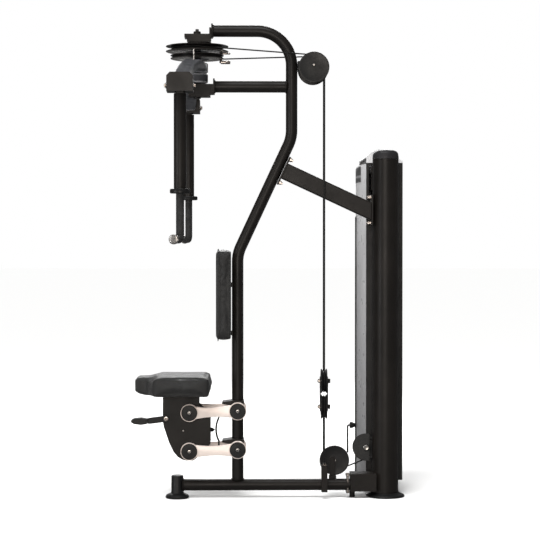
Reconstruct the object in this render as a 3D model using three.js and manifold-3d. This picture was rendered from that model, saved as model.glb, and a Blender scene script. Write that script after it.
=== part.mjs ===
// A chest fly and rear shoulder machine: a bent upright carries two overhead arms
// with hanging handles, an adjustable seat and a back pad, and cables run to a
// weight tower at the rear. Millimetres, +Z up, the user faces -X.
import * as THREE from 'three';
import { mergeVertices } from 'three/addons/utils/BufferGeometryUtils.js';
import Module from 'manifold-3d';

const wasm = await Module();
wasm.setup();

// ---- driving dimensions -------------------------------------------------

const GAP = 0.3; // clearance between pieces that touch
const TUBE_R = 25.4; // main frame tube
const TUBE_CLEAR_R = 26.3; // leaves a gap around a faceted tube
const WALL = 3;
const TUBE_SIDES = 14;
const FOOTPRINT = { x: 127, y: 4.57 }; // centre of the machine's bounding box

const BASE_Z = 57; // axis of the floor tube
const FRONT_X = -277;
const BASE_END_X = 487;
const LOWER_X = -10.6; // axis of the lower upright
const UPPER_X = 227; // axis of the upper upright
const KNEE_LOW_Z = 1076;
const KNEE_HIGH_Z = 1586;
const KNEE_R = 150;
const TOP_Z = 2054; // axis of the top tube
const TOP_END_X = -119;
const SUPPORT_Z = 1810; // axis of the arm support tube
const SUPPORT_END_X = -118;

const AXIS_X = -188; // upright axis that both arms turn about
const SHAFT_R = 16;
const SHAFT_BORE_R = 17;
const CAM_CABLE_R = 108;
const NEAR_CAM = { r: 137, low: 1962, high: 1988, cable: 1977 };
const FAR_CAM = { r: 117, low: 1931, high: 1948, cable: 1939.5 };
const NEAR_HUB = { low: 1870, high: 1912 };
const FAR_HUB = { low: 1826, high: 1866 };
const HUB_R = 48;
const HANDLE = { x: -243, y: 580, boltZ: 1762 };
const BLOCK = { half: 53.5, low: 1736, high: 1813 };
const BLOCK_INNER = HANDLE.y - BLOCK.half - GAP; // where an arm ends against its block

const CABLE_R = 3;
const CABLE_STEP = 20; // degrees of bend in one sweep step
const PULLEY_R = 54;
const PULLEY_PATH_R = 48; // centre line of a cable in a groove
const PULLEY_HALF = 13.5;
const GROOVE_R = PULLEY_PATH_R - CABLE_R - 1.2;
const AXLE_R = 6;
const AXLE_BORE_R = 6.6;
const RUN_X = 370; // the plane of the upright cable runs
const RUN_Y = PULLEY_PATH_R;
const REDIRECT = { x: RUN_X - PULLEY_PATH_R, z: 1900 };
const FLOAT_HIGH_Z = 515;
const FLOAT_LOW_Z = 401;
const BOTTOM = { x: RUN_X + PULLEY_PATH_R, z: 160 };
const TOWER_BASE = { x: 559, z: 216 };
const POST_CABLE_X = TOWER_BASE.x + PULLEY_PATH_R;
const HEAD_Z = 1375; // axis of the two pulleys at the tower's top

const POST = { x: 644, nearY: 30, farY: 600, r: 57.5, top: 1495 };
const FOOT_H = 18;
const STACK = { x: POST_CABLE_X, y: 315, low: 120, depth: 100, width: 320 };
const PLATE_H = 30;
const PLATES_RESTING = 5;
const PLATES_LIFTED = 7;
const ROD_OFFSET = 125;
const ROD_X = POST_CABLE_X + 26;
const ROD_R = 8;
const PIN_Z = STACK.low + (PLATES_RESTING + 0.5) * PLATE_H;
const SHROUD = { nearY: 92, farY: 538, joinX: 563, backX: 726, apexX: 534, low: 62, wall: 4 };
const HOOD_Z = 1480; // where the grey hood starts

const LINK = { length: 211, frameX: -10.5, upperZ: 389.2, lowerZ: 220.5, drop: 6.8 };
const LINK_IN = 66; // distance of a link's inner face from the middle plane
const LINK_T = 22;
const BOSS_R = 38;
const LOCK_PIN = 84.5; // distance of the lock bar's pins from the frame pivots
const PLATE_IN = 57; // inner face of the seat's side plates
const PLATE_T = 6;
const SEAT = { front: -468, back: -129, low: 459, top: 541, half: 180, noseHalf: 82 };
const PAD = { front: -102, back: -40, low: 698, high: 1096, half: 140 };

// ---- materials ----------------------------------------------------------

const finish = (color, roughness, metalness) =>
  new THREE.MeshStandardMaterial({ color, roughness, metalness });
const FRAME_BLACK = finish(0x1d1b1a, 0.42, 0.3);
const PLASTIC_BLACK = finish(0x161616, 0.5, 0);
const SILVER = finish(0xd8cec6, 0.3, 0.9);
const CAST_GREY = finish(0x55565a, 0.45, 0.4);
const VINYL = finish(0x2a2a2a, 0.6, 0);
const STEEL = finish(0x6a6a6c, 0.4, 0.8);
const SMOKED = finish(0x9a9b9c, 0.4, 0);
const HOOD_GREY = finish(0xc4c5c6, 0.4, 0);

// ---- helpers ------------------------------------------------------------

const machine = new THREE.Group();
machine.position.set(-FOOTPRINT.x, -FOOTPRINT.y, 0);

const v3 = (x, y, z) => new THREE.Vector3(x, y, z);

// Turns a closed geometry into a solid that can be joined and cut.
function solid(geometry) {
  const bare = geometry.index ? geometry.clone() : geometry;
  bare.deleteAttribute('normal');
  bare.deleteAttribute('uv');
  const merged = mergeVertices(bare, 1e-4);
  return new wasm.Manifold(new wasm.Mesh({
    numProp: 3,
    vertProperties: new Float32Array(merged.attributes.position.array),
    triVerts: new Uint32Array(merged.index.array),
  }));
}

function geometryOf(shape) {
  const { vertProperties, triVerts } = shape.getMesh();
  const geometry = new THREE.BufferGeometry();
  geometry.setAttribute('position', new THREE.BufferAttribute(vertProperties, 3));
  geometry.setIndex(new THREE.BufferAttribute(triVerts, 1));
  geometry.computeVertexNormals();
  return geometry;
}

function add(name, shape, material) {
  const mesh = new THREE.Mesh(geometryOf(shape), material);
  mesh.name = name;
  machine.add(mesh);
  return mesh;
}

const join = (...shapes) => shapes.reduce((all, next) => all.add(next));
const cut = (shape, ...tools) => tools.reduce((left, tool) => left.subtract(tool), shape);

// A box between two opposite corners.
function box(x0, x1, y0, y1, z0, z1) {
  const geometry = new THREE.BoxGeometry(x1 - x0, y1 - y0, z1 - z0);
  geometry.translate((x0 + x1) / 2, (y0 + y1) / 2, (z0 + z1) / 2);
  return solid(geometry);
}

// A round bar between two points, which may taper.
function bar(from, to, r, sides = 16, endR = r) {
  const along = to.clone().sub(from);
  const geometry = new THREE.CylinderGeometry(endR, r, along.length(), sides);
  const turn = new THREE.Quaternion().setFromUnitVectors(v3(0, 1, 0), along.clone().normalize());
  geometry.applyQuaternion(turn);
  geometry.translate(...from.clone().add(to).multiplyScalar(0.5));
  return solid(geometry);
}

const barX = (x0, x1, y, z, r, sides) => bar(v3(x0, y, z), v3(x1, y, z), r, sides);
const barY = (y0, y1, x, z, r, sides) => bar(v3(x, y0, z), v3(x, y1, z), r, sides);
const barZ = (z0, z1, x, y, r, sides) => bar(v3(x, y, z0), v3(x, y, z1), r, sides);

// A solid of revolution about an upright axis, from [radius, height] points.
function turned(profile, x, y, sides = 32) {
  const geometry = new THREE.LatheGeometry(profile.map(([r, z]) => new THREE.Vector2(r, z)), sides);
  geometry.rotateX(Math.PI / 2);
  geometry.translate(x, y, 0);
  return solid(geometry);
}

// A plate in the XZ plane, from [x, z] points, between two Y values.
function plateXZ(points, y0, y1) {
  const shape = new THREE.Shape(points.map(([x, z]) => new THREE.Vector2(x, z)));
  const geometry = new THREE.ExtrudeGeometry(shape, { depth: y1 - y0, bevelEnabled: false });
  geometry.rotateX(Math.PI / 2);
  geometry.translate(0, y1, 0);
  return solid(geometry);
}

// A plate in the XY plane, from [x, y] points, between two heights.
function plateXY(points, z0, z1) {
  const shape = new THREE.Shape(points.map(([x, y]) => new THREE.Vector2(x, y)));
  const geometry = new THREE.ExtrudeGeometry(shape, { depth: z1 - z0, bevelEnabled: false });
  geometry.translate(0, 0, z0);
  return solid(geometry);
}

// A path through the given points, with one sweep step at each point.
class PointPath extends THREE.Curve {
  constructor(points) {
    super();
    this.points = points;
  }
  getPoint(t) {
    const place = t * (this.points.length - 1);
    const i = Math.min(Math.floor(place), this.points.length - 2);
    return this.points[i].clone().lerp(this.points[i + 1], place - i);
  }
  getSpacedPoints() {
    return this.points;
  }
  getTangentAt(u) {
    const last = this.points.length - 1;
    const i = Math.round(u * last);
    const back = Math.max(i, 1);
    const next = Math.min(i, last - 1);
    const arriving = this.points[back].clone().sub(this.points[back - 1]).normalize();
    const leaving = this.points[next + 1].clone().sub(this.points[next]).normalize();
    return arriving.add(leaving).normalize();
  }
}

// Rounds each inner corner of a route with an arc: corners are [x, y, z, radius].
function rounded(corners, stepDegrees = 18) {
  const points = [v3(...corners[0])];
  for (let i = 1; i < corners.length - 1; i += 1) {
    const [x, y, z, radius] = corners[i];
    const corner = v3(x, y, z);
    const back = v3(...corners[i - 1]).sub(corner).normalize();
    const ahead = v3(...corners[i + 1]).sub(corner).normalize();
    const turn = Math.PI - back.angleTo(ahead);
    const reach = radius * Math.tan(turn / 2);
    const start = corner.clone().addScaledVector(back, reach);
    const inward = back.clone().add(ahead).normalize();
    const centre = corner.clone().addScaledVector(inward, radius / Math.cos(turn / 2));
    const axis = ahead.clone().cross(back).normalize();
    const steps = Math.max(2, Math.ceil(THREE.MathUtils.radToDeg(turn) / stepDegrees));
    for (let k = 0; k <= steps; k += 1) {
      const spoke = start.clone().sub(centre).applyAxisAngle(axis, (turn * k) / steps);
      points.push(centre.clone().add(spoke));
    }
  }
  points.push(v3(...corners.at(-1)));
  return points.filter((point, i) => i === 0 || point.distanceTo(points[i - 1]) > 0.01);
}

function circle(radius, sides) {
  const corners = Array.from({ length: sides }, (_, k) => {
    const angle = (2 * Math.PI * k) / sides;
    return new THREE.Vector2(radius * Math.cos(angle), radius * Math.sin(angle));
  });
  return new THREE.Shape(corners);
}

// A round tube or bar swept through points; a wall makes it hollow.
function swept(points, radius, sides = TUBE_SIDES, wall = 0) {
  const section = circle(radius, sides);
  if (wall > 0) section.holes.push(circle(radius - wall, sides));
  const extrudePath = new PointPath(points);
  return solid(new THREE.ExtrudeGeometry(section, { steps: points.length - 1, extrudePath }));
}

// Points on an arc in the XZ plane, angles in degrees.
function arc(cx, cz, radius, from, to, steps) {
  return Array.from({ length: steps + 1 }, (_, k) => {
    const angle = THREE.MathUtils.degToRad(from + ((to - from) * k) / steps);
    return [cx + radius * Math.cos(angle), cz + radius * Math.sin(angle)];
  });
}

// ---- frame --------------------------------------------------------------

const baseClear = barX(FRONT_X, BASE_END_X, 0, BASE_Z, TUBE_CLEAR_R, 20);
const uprightRoute = rounded([
  [LOWER_X, 0, BASE_Z + 18, 0],
  [LOWER_X, 0, KNEE_LOW_Z, KNEE_R],
  [UPPER_X, 0, KNEE_HIGH_Z, KNEE_R],
  [UPPER_X, 0, TOP_Z, KNEE_R],
  [TOP_END_X, 0, TOP_Z, 0],
]);

function linkAxle(z, radius) {
  return barY(-LINK_IN - 14, LINK_IN + 14, LINK.frameX, z, radius, 10);
}

function makeUpright() {
  const tube = swept(uprightRoute, TUBE_R, TUBE_SIDES, WALL);
  const tabs = [727, 940].map((z) => box(PAD.back + GAP, LOWER_X - 22, -14, 14, z - 10, z + 10));
  const flange = box(TOP_END_X - 7, TOP_END_X + 1, -32, 32, TOP_Z - 30, TOP_Z + 30);
  const axles = [LINK.upperZ, LINK.lowerZ].map((z) => linkAxle(z, 10.5 + GAP));
  add('upright', cut(join(tube, ...tabs, flange), baseClear, ...axles), FRAME_BLACK);
}

function makeArmSupport() {
  const clear = barZ(SUPPORT_Z - 60, SUPPORT_Z + 60, UPPER_X, 0, TUBE_CLEAR_R, 20);
  const route = [v3(SUPPORT_END_X + 6, 0, SUPPORT_Z), v3(UPPER_X, 0, SUPPORT_Z)];
  const plate = box(SUPPORT_END_X, SUPPORT_END_X + 7, -34, 34, SUPPORT_Z - 34, SUPPORT_Z + 34);
  add('arm_support_tube', cut(join(swept(route, TUBE_R, TUBE_SIDES, WALL), plate), clear), FRAME_BLACK);
}

function makeBase() {
  const route = [v3(FRONT_X, 0, BASE_Z), v3(BASE_END_X - GAP, 0, BASE_Z)];
  const stubClear = barZ(0, 200, FRONT_X, 0, 26.5 + GAP, 24);
  const bolts = [-17, 17].map((y) => join(
    barZ(28, 100, 475, y, 5, 10),
    barZ(96, 106, 475, y, 8, 6),
    barZ(20, 30, 475, y, 8, 6),
  ));
  add('base_tube', cut(join(swept(route, TUBE_R, TUBE_SIDES, WALL), ...bolts), stubClear), FRAME_BLACK);
  const footProfile = [[0, 0], [50, 0], [52, 6], [47, 14], [30, 21], [26.5, 26], [26.5, 96], [23, 100],
    [0, 101]];
  add('front_foot', turned(footProfile, FRONT_X, 0, 16), PLASTIC_BLACK);
  const postClear = barZ(0, 200, POST.x, POST.nearY, POST.r + GAP, 40);
  const block = join(box(BASE_END_X, 600, -35, 62, 30, 107), barZ(0, 32, 496, 14, 12, 16));
  add('base_block', cut(block, postClear), FRAME_BLACK);
}

// The brace falls from the slanted tube to the tower, square to that tube.
function makeBrace() {
  const slope = Math.atan2(KNEE_HIGH_Z - KNEE_LOW_Z, UPPER_X - LOWER_X);
  const along = { x: Math.sin(slope), z: -Math.cos(slope) };
  const across = { x: -along.z, z: along.x };
  const from = { x: 166, z: 1454 };
  const at = (s, t) => [from.x + s * along.x + t * across.x, from.z + s * along.z + t * across.z];
  const endX = 580;
  const atEnd = (t) => at((endX - from.x - t * across.x) / along.x, t);
  const tube = plateXZ([at(30, -36), atEnd(-36), atEnd(36), at(30, 36)], -25, 25);
  const innerEnd = (t) => at((endX + 20 - from.x - t * across.x) / along.x, t);
  const hollow = plateXZ([at(40, -32), innerEnd(-32), innerEnd(32), at(40, 32)], -21, 21);
  const plateStart = TUBE_R + GAP;
  const upperPlate = plateXZ([
    at(plateStart, -66), at(plateStart + 8, -66), at(plateStart + 8, 66), at(plateStart, 66)], -28, 28);
  const lowerPlate = box(576, POST.x - POST.r - GAP, -22, 62, 1200, 1336);
  const boltAt = (s0, s1, t, y) => {
    const [x0, z0] = at(s0, t);
    const [x1, z1] = at(s1, t);
    return bar(v3(x0, y, z0), v3(x1, y, z1), 6, 8);
  };
  const upperBolts = [-55, 55].flatMap((t) => [-16, 16].map((y) => boltAt(plateStart + 4, 56, t, y)));
  const lowerBolts = [1212, 1325].flatMap((z) => [-8, 46].map((y) => barX(560, 580, y, z, 7, 8)));
  add('brace', cut(join(tube, upperPlate, lowerPlate, ...upperBolts, ...lowerBolts), hollow), FRAME_BLACK);
}

// ---- weight tower -------------------------------------------------------

function makePost(name, y, slots) {
  const outer = turned([[0, FOOT_H + GAP], [POST.r, FOOT_H + GAP], [POST.r, POST.top], [0, POST.top]],
    POST.x, y, 24);
  const bore = turned([[0, 0], [POST.r - WALL, 0], [POST.r - WALL, 1600], [0, 1600]], POST.x, y, 24);
  const capLow = POST.top - 1;
  const cap = turned([[0, capLow], [POST.r, capLow], [POST.r - 2, capLow + 23], [POST.r - 11, capLow + 35],
    [POST.r - 37, capLow + 42], [0, capLow + 43]], POST.x, y, 24);
  add(`${name}_post`, join(cut(outer, bore, ...slots), cap), FRAME_BLACK);
  const foot = [[0, 0], [82, 0], [85, 5], [80, 10], [62, FOOT_H], [0, FOOT_H]];
  add(`${name}_post_foot`, turned(foot, POST.x, y, 24), PLASTIC_BLACK);
}

function makeTowerFrame() {
  const baseSlot = box(575, 622, RUN_Y - 19, RUN_Y + 19, 150, 300);
  const headSlot = box(575, 640, 30, 120, HEAD_Z - 62, HEAD_Z + 58);
  makePost('near', POST.nearY, [baseSlot, headSlot]);
  makePost('far', POST.farY, []);
  const lowY = POST.nearY + POST.r + 1;
  const highY = POST.farY - POST.r - 1;
  const rodY = [STACK.y - ROD_OFFSET, STACK.y + ROD_OFFSET];
  const bumpers = rodY.map((y) => barZ(50, STACK.low - GAP, ROD_X, y, 24, 12));
  add('bottom_beam', join(box(578, 690, lowY, highY, FOOT_H + 1, 56), ...bumpers), FRAME_BLACK);
  ['near', 'far'].forEach((side, i) => {
    add(`${side}_guide_rod`, barZ(STACK.low, 1436 - GAP, ROD_X, rodY[i], ROD_R, 12), SILVER);
  });
  const hangers = [RUN_Y + PULLEY_PATH_R, STACK.y - PULLEY_PATH_R].flatMap((y) => [
    box(STACK.x - 22, STACK.x - 17, y - 15, y + 15, HEAD_Z - 16, 1440),
    box(STACK.x + 17, STACK.x + 22, y - 15, y + 15, HEAD_Z - 16, 1440),
    barX(STACK.x - 22, STACK.x + 22, y, HEAD_Z, AXLE_R, 10),
  ]);
  const hangerLedge = box(STACK.x - 24, STACK.x + 24, 80, highY - 40, 1437, 1450);
  const postClear = barZ(1300, POST.top + 20, POST.x, POST.nearY, POST.r + 1, 40);
  const beam = box(STACK.x - 22, 680, lowY, highY, 1436, 1466);
  add('top_beam', cut(join(beam, hangerLedge, ...hangers), postClear), FRAME_BLACK);
}

// The shroud's outline seen from above, drawn in by a margin.
function shroudPlan(margin) {
  const { nearY, farY, joinX, backX, apexX } = SHROUD;
  const steps = 12;
  const bow = Array.from({ length: steps + 1 }, (_, k) => {
    const t = (2 * k) / steps - 1;
    const y = (nearY + farY) / 2 + (t * (farY - nearY)) / 2;
    return [apexX + margin + (joinX - apexX) * t * t, y - Math.sign(t) * margin * Math.abs(t)];
  });
  return [[backX - margin, nearY + margin], ...bow, [backX - margin, farY - margin]];
}

function shroudPlanSolid(margin, low) {
  return plateXY(shroudPlan(margin).reverse(), low, 1600);
}

function shroudBody(margin, low) {
  const { backX, apexX } = SHROUD;
  const frontCurve = arc(apexX + 106, 1430, 106 - margin, 180, 100, 7)
    .map(([x, z]) => [x, 1430 + (z - 1430) * 1.07]);
  const side = [[apexX + margin, low], [backX - margin, low], [backX - margin, 1490 - margin],
    ...frontCurve.reverse()];
  return shroudPlanSolid(margin, low).intersect(plateXZ(side, 0, 700));
}

function makeShroud() {
  const shell = cut(shroudBody(0, SHROUD.low), shroudBody(SHROUD.wall, SHROUD.low - 10));
  const split = SHROUD.joinX + 0.5;
  const slot = box(500, split, STACK.y - 12, STACK.y + 12, 0, 1237);
  const beamHoles = [
    box(575, 690, 80, 120, HEAD_Z - 64, 1470), box(575, 690, 500, 560, 1430, 1470),
  ];
  const front = cut(shell.intersect(box(500, split - 0.5, 0, 700, 0, 1600)), slot);
  const rear = cut(shell.intersect(box(split, 800, 0, 700, 0, HOOD_Z)), ...beamHoles);
  const hood = shell.intersect(box(split, 800, 0, 700, HOOD_Z + GAP, 1700));
  add('front_shroud', front, SMOKED);
  add('rear_shroud', rear, PLASTIC_BLACK);
  add('shroud_hood', hood, HOOD_GREY);
}

function plateRow(count, low) {
  const groove = 1.2;
  const halfX = STACK.depth / 2;
  const halfY = STACK.width / 2;
  let column = box(STACK.x - halfX + 3, STACK.x + halfX - 3, STACK.y - halfY + 3, STACK.y + halfY - 3,
    low, low + count * PLATE_H - groove);
  for (let i = 0; i < count; i += 1) {
    const z = low + i * PLATE_H;
    column = column.add(box(STACK.x - halfX, STACK.x + halfX, STACK.y - halfY, STACK.y + halfY,
      z, z + PLATE_H - groove));
  }
  return column;
}

function makeStack() {
  const rodHoles = [-1, 1].map((side) =>
    barZ(0, 1000, ROD_X, STACK.y + side * ROD_OFFSET, ROD_R + 1, 12));
  const stemR = 12;
  const stemHole = barZ(0, 1000, STACK.x, STACK.y, stemR + 1, 12);
  add('resting_plates', cut(plateRow(PLATES_RESTING, STACK.low), ...rodHoles, stemHole), STEEL);
  const liftLow = STACK.low + PLATES_RESTING * PLATE_H;
  const pinHole = barX(STACK.x - STACK.depth, STACK.x, STACK.y, PIN_Z, 5.5, 10);
  const lifted = plateRow(PLATES_LIFTED, liftLow);
  add('lifted_plates', cut(lifted, ...rodHoles, stemHole, pinHole), STEEL);
  const headLow = liftLow + PLATES_LIFTED * PLATE_H;
  const head = join(
    box(STACK.x - 46, STACK.x + 46, STACK.y - 155, STACK.y + 155, headLow, headLow + 38),
    barZ(STACK.low + 5, headLow + 60, STACK.x, STACK.y, stemR, 12),
  );
  add('head_plate', cut(head, ...rodHoles, pinHole), STEEL);
  const knob = bar(v3(504, STACK.y, PIN_Z), v3(531, STACK.y, PIN_Z), 15, 16, 8);
  add('selector_pin', join(knob, barX(525, STACK.x - 1, STACK.y, PIN_Z, 4.5, 10)), PLASTIC_BLACK);
  const strap = rounded([[503.5, STACK.y, PIN_Z, 0], [495, STACK.y, PIN_Z, 7], [495, STACK.y, 158, 0]]);
  add('pin_strap', swept(strap, 4.2, 8), PLASTIC_BLACK);
}

// ---- pulleys and cables -------------------------------------------------

const pulleyProfile = [
  [AXLE_BORE_R, -PULLEY_HALF], [PULLEY_R - 1.5, -PULLEY_HALF], [PULLEY_R, -PULLEY_HALF + 1.5],
  [GROOVE_R, -4.5], [GROOVE_R, 4.5],
  [PULLEY_R, PULLEY_HALF - 1.5], [PULLEY_R - 1.5, PULLEY_HALF], [AXLE_BORE_R, PULLEY_HALF],
  [AXLE_BORE_R, -PULLEY_HALF],
];

// A grooved pulley centred at a point, its axle along X or Y.
function pulley(name, axis, x, y, z) {
  const profile = pulleyProfile.map(([r, h]) => new THREE.Vector2(r, h));
  const geometry = new THREE.LatheGeometry(profile, 16);
  if (axis === 'x') geometry.rotateZ(-Math.PI / 2);
  geometry.translate(x, y, z);
  add(name, solid(geometry), PLASTIC_BLACK);
}

function makePulleys() {
  pulley('near_redirect_pulley', 'y', REDIRECT.x, -RUN_Y, REDIRECT.z);
  pulley('far_redirect_pulley', 'y', REDIRECT.x, RUN_Y, REDIRECT.z);
  pulley('float_upper_pulley', 'x', RUN_X, 0, FLOAT_HIGH_Z);
  pulley('float_lower_pulley', 'x', RUN_X, 0, FLOAT_LOW_Z);
  pulley('bottom_pulley', 'y', BOTTOM.x, RUN_Y, BOTTOM.z);
  pulley('tower_base_pulley', 'y', TOWER_BASE.x, RUN_Y, TOWER_BASE.z);
  pulley('post_head_pulley', 'x', STACK.x, RUN_Y + PULLEY_PATH_R, HEAD_Z);
  pulley('stack_head_pulley', 'x', STACK.x, STACK.y - PULLEY_PATH_R, HEAD_Z);
}

function makePulleyBrackets() {
  const { x, z } = REDIRECT;
  const discX = x + 1;
  const discZ = z - 9;
  const discR = 67;
  add('redirect_bracket', join(
    box(UPPER_X + TUBE_R + GAP, x + 14, -24, 24, z - 22, z + 22),
    barY(-70, 70, x, z, AXLE_R, 10),
    barY(-71, -66, discX, discZ, discR, 20),
    barY(66, 71, discX, discZ, discR, 20),
    barY(-74, -70, x, z, 5, 10),
    barY(70, 74, x, z, 5, 10),
  ), PLASTIC_BLACK);

  const cheekHalf = 20;
  const cheek = (x0, x1) => join(
    box(x0, x1, -cheekHalf, cheekHalf, FLOAT_LOW_Z, FLOAT_HIGH_Z),
    barX(x0, x1, 0, FLOAT_LOW_Z, cheekHalf, 20),
    barX(x0, x1, 0, FLOAT_HIGH_Z, cheekHalf, 20),
  );
  const bolt = (height) => join(
    barX(RUN_X - 22, RUN_X + 21, 0, height, AXLE_R, 10),
    barX(RUN_X + 18, RUN_X + 28, 0, height, 10, 8),
    barX(RUN_X - 29, RUN_X - 18, 0, height, 8.5, 6),
  );
  add('float_frame', join(cheek(RUN_X - 18, RUN_X - 14.3), cheek(RUN_X + 14.3, RUN_X + 18),
    bolt(FLOAT_LOW_Z), bolt(FLOAT_HIGH_Z)), FRAME_BLACK);

  const armX = 409;
  const foot = cut(box(armX - 16, armX + 16, 0, 29, BASE_Z, 96), baseClear);
  add('bottom_bracket', join(
    foot,
    box(armX - 13, armX + 13, 24, 29, 80, 165),
    barY(24, 29, armX, 165, 13, 16),
    barY(26, RUN_Y + 17, BOTTOM.x, BOTTOM.z, AXLE_R, 10),
    barY(28.5, 32.5, BOTTOM.x, BOTTOM.z, 66, 20),
  ), PLASTIC_BLACK);

  const guardX = TOWER_BASE.x;
  const cheekPlate = (y0, y1) => cut(
    join(barY(y0, y1, guardX, TOWER_BASE.z, 59, 20), box(guardX, 574, y0, y1, 150, 285)),
    box(574, 700, y0 - 5, y1 + 5, 100, 350),
  );
  add('tower_pulley_guard', join(
    cheekPlate(RUN_Y - 19, RUN_Y - 15), cheekPlate(RUN_Y + 15, RUN_Y + 19),
    barY(RUN_Y - 22, RUN_Y + 19, guardX, TOWER_BASE.z, AXLE_R, 10),
    barY(RUN_Y - 24, RUN_Y - 18, guardX, TOWER_BASE.z, 12, 16),
  ), PLASTIC_BLACK);

  const anchor = cut(box(RUN_X - 13, RUN_X + 13, -62, -20, 31, 149), baseClear);
  add('cable_anchor', join(anchor, barZ(145, 158, RUN_X, -RUN_Y, 9, 8)), FRAME_BLACK);
}

// Runs from each cam over a redirect pulley, down, and under the floating pulley.
function makeArmCable() {
  const wrap = (side, height, degrees) => Array.from({ length: 5 }, (_, k) => {
    const angle = THREE.MathUtils.degToRad(90 + (degrees * (4 - k)) / 4);
    return v3(AXIS_X + CAM_CABLE_R * Math.cos(angle), side * CAM_CABLE_R * Math.sin(angle), height);
  });
  const top = REDIRECT.z + PULLEY_PATH_R;
  const corners = (side) => [
    [REDIRECT.x - 30, side * RUN_Y, top, 0], [RUN_X, side * RUN_Y, top, PULLEY_PATH_R],
    [RUN_X, side * RUN_Y, 1400, 0]];
  const near = rounded(corners(-1), CABLE_STEP);
  const far = rounded(corners(1), CABLE_STEP).reverse();
  const low = FLOAT_HIGH_Z - PULLEY_PATH_R;
  const under = rounded([[RUN_X, -RUN_Y, 1400, 0], [RUN_X, -RUN_Y, low, PULLEY_PATH_R],
    [RUN_X, RUN_Y, low, PULLEY_PATH_R], [RUN_X, RUN_Y, 1400, 0]], CABLE_STEP).slice(1, -1);
  const route = [...wrap(-1, NEAR_CAM.cable, 60), ...near, ...under, ...far,
    ...wrap(1, FAR_CAM.cable, 60).reverse()];
  add('arm_cable', swept(route, CABLE_R, 8), PLASTIC_BLACK);
}

// Runs from the anchor over the floating pulley to the tower and its weights.
function makeStackCable() {
  const r = PULLEY_PATH_R;
  const high = FLOAT_LOW_Z + r;
  const slope = Math.atan2(TOWER_BASE.z - BOTTOM.z, TOWER_BASE.x - BOTTOM.x);
  const cornerUnder = (pulleyAt, x) => {
    const down = r / Math.cos(slope);
    return pulleyAt.z - down + (x - pulleyAt.x) * Math.tan(slope);
  };
  const headTop = HEAD_Z + r;
  const headPlateTop = STACK.low + (PLATES_RESTING + PLATES_LIFTED) * PLATE_H + 60 + GAP;
  const route = rounded([
    [RUN_X, -RUN_Y, 158 + GAP, 0],
    [RUN_X, -RUN_Y, high, r],
    [RUN_X, RUN_Y, high, r],
    [RUN_X, RUN_Y, cornerUnder(BOTTOM, RUN_X), r],
    [POST_CABLE_X, RUN_Y, cornerUnder(TOWER_BASE, POST_CABLE_X), r],
    [POST_CABLE_X, RUN_Y, headTop, r],
    [POST_CABLE_X, STACK.y, headTop, r],
    [POST_CABLE_X, STACK.y, headPlateTop, 0],
  ], CABLE_STEP);
  add('stack_cable', swept(route, CABLE_R, 8), PLASTIC_BLACK);
}

// ---- arms ---------------------------------------------------------------

function makeBearings() {
  const plateLow = 2022;
  const plateEnd = TOP_END_X - 7 - GAP;
  add('upper_bearing', join(
    box(-243, plateEnd, -42, 42, plateLow, plateLow + 16),
    box(plateEnd - 8, plateEnd, -42, 42, 1998, 2066),
    box(-232, plateEnd, -42, -36, 2002, plateLow + 2),
    box(-232, plateEnd, 36, 42, 2002, plateLow + 2),
    barZ(NEAR_CAM.high + 2, plateLow + 2, AXIS_X, 0, 26, 20),
    barZ(1760, 2052, AXIS_X, 0, SHAFT_R, 16),
  ), FRAME_BLACK);
  const bore = barZ(1700, 1900, AXIS_X, 0, SHAFT_BORE_R, 16);
  const plateX = SUPPORT_END_X - GAP;
  add('lower_bearing', cut(join(
    box(-226, -130, -36, 36, 1764, 1820),
    box(-134, plateX, -34, 34, SUPPORT_Z - 34, SUPPORT_Z + 10),
  ), bore), FRAME_BLACK);
}

// A cam: two flanges with a cable groove between them, and its cable stop.
function makeCam(name, cam, stopZ, stopR) {
  const groove = CAM_CABLE_R - CABLE_R - 1.8;
  const flange = 2.5;
  const grooveLow = cam.cable - CABLE_R - GAP;
  const grooveHigh = cam.cable + CABLE_R + GAP;
  const disc = turned([[0, cam.low], [cam.r - 2, cam.low], [cam.r, cam.low + flange],
    [groove, grooveLow], [groove, grooveHigh], [cam.r, cam.high - flange],
    [cam.r - 2, cam.high], [0, cam.high]], AXIS_X, 0, 28);
  const bore = barZ(cam.low - 5, cam.high + 5, AXIS_X, 0, SHAFT_BORE_R, 16);
  const lug = box(-90, -78, -6, 6, stopZ - 3, cam.low + 2);
  const stop = barX(-84, -42, 0, stopZ, stopR, 12);
  add(name, cut(join(disc, lug, stop), bore), FRAME_BLACK);
}

// An arm: a tapering casting from its hub to the block, on side -1 or +1, with
// the pin that locks it to its cam.
function makeArm(name, side, hub, pin) {
  const mid = (hub.low + hub.high) / 2;
  const stations = [
    [-188, 30, mid, 44, 20], [-192, 110, mid + 2, 40, 20], [-204, 220, mid - 4, 36, 22],
    [-219, 330, mid * 0.7 + 1790 * 0.3, 34, 24], [-233, 430, mid * 0.35 + 1790 * 0.65, 34, 26],
    [-243, BLOCK_INNER, 1776, 36, 30],
  ];
  const sections = stations.map(([x, y, z, halfX, halfZ]) => box(
    x - halfX, x + halfX, side * y - 2, side * y + 2, z - halfZ, z + halfZ));
  let casting = barZ(hub.low, hub.high, AXIS_X, 0, HUB_R, 20);
  for (let i = 1; i < sections.length; i += 1) {
    casting = casting.add(wasm.Manifold.hull([sections[i - 1], sections[i]]));
  }
  const trim = box(-400, 0, side > 0 ? BLOCK_INNER : -700, side > 0 ? 700 : -BLOCK_INNER, 1600, 2000);
  const bore = barZ(1700, 1950, AXIS_X, 0, SHAFT_BORE_R, 16);
  add(name, join(cut(casting, trim, bore), pin), CAST_GREY);
}

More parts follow.
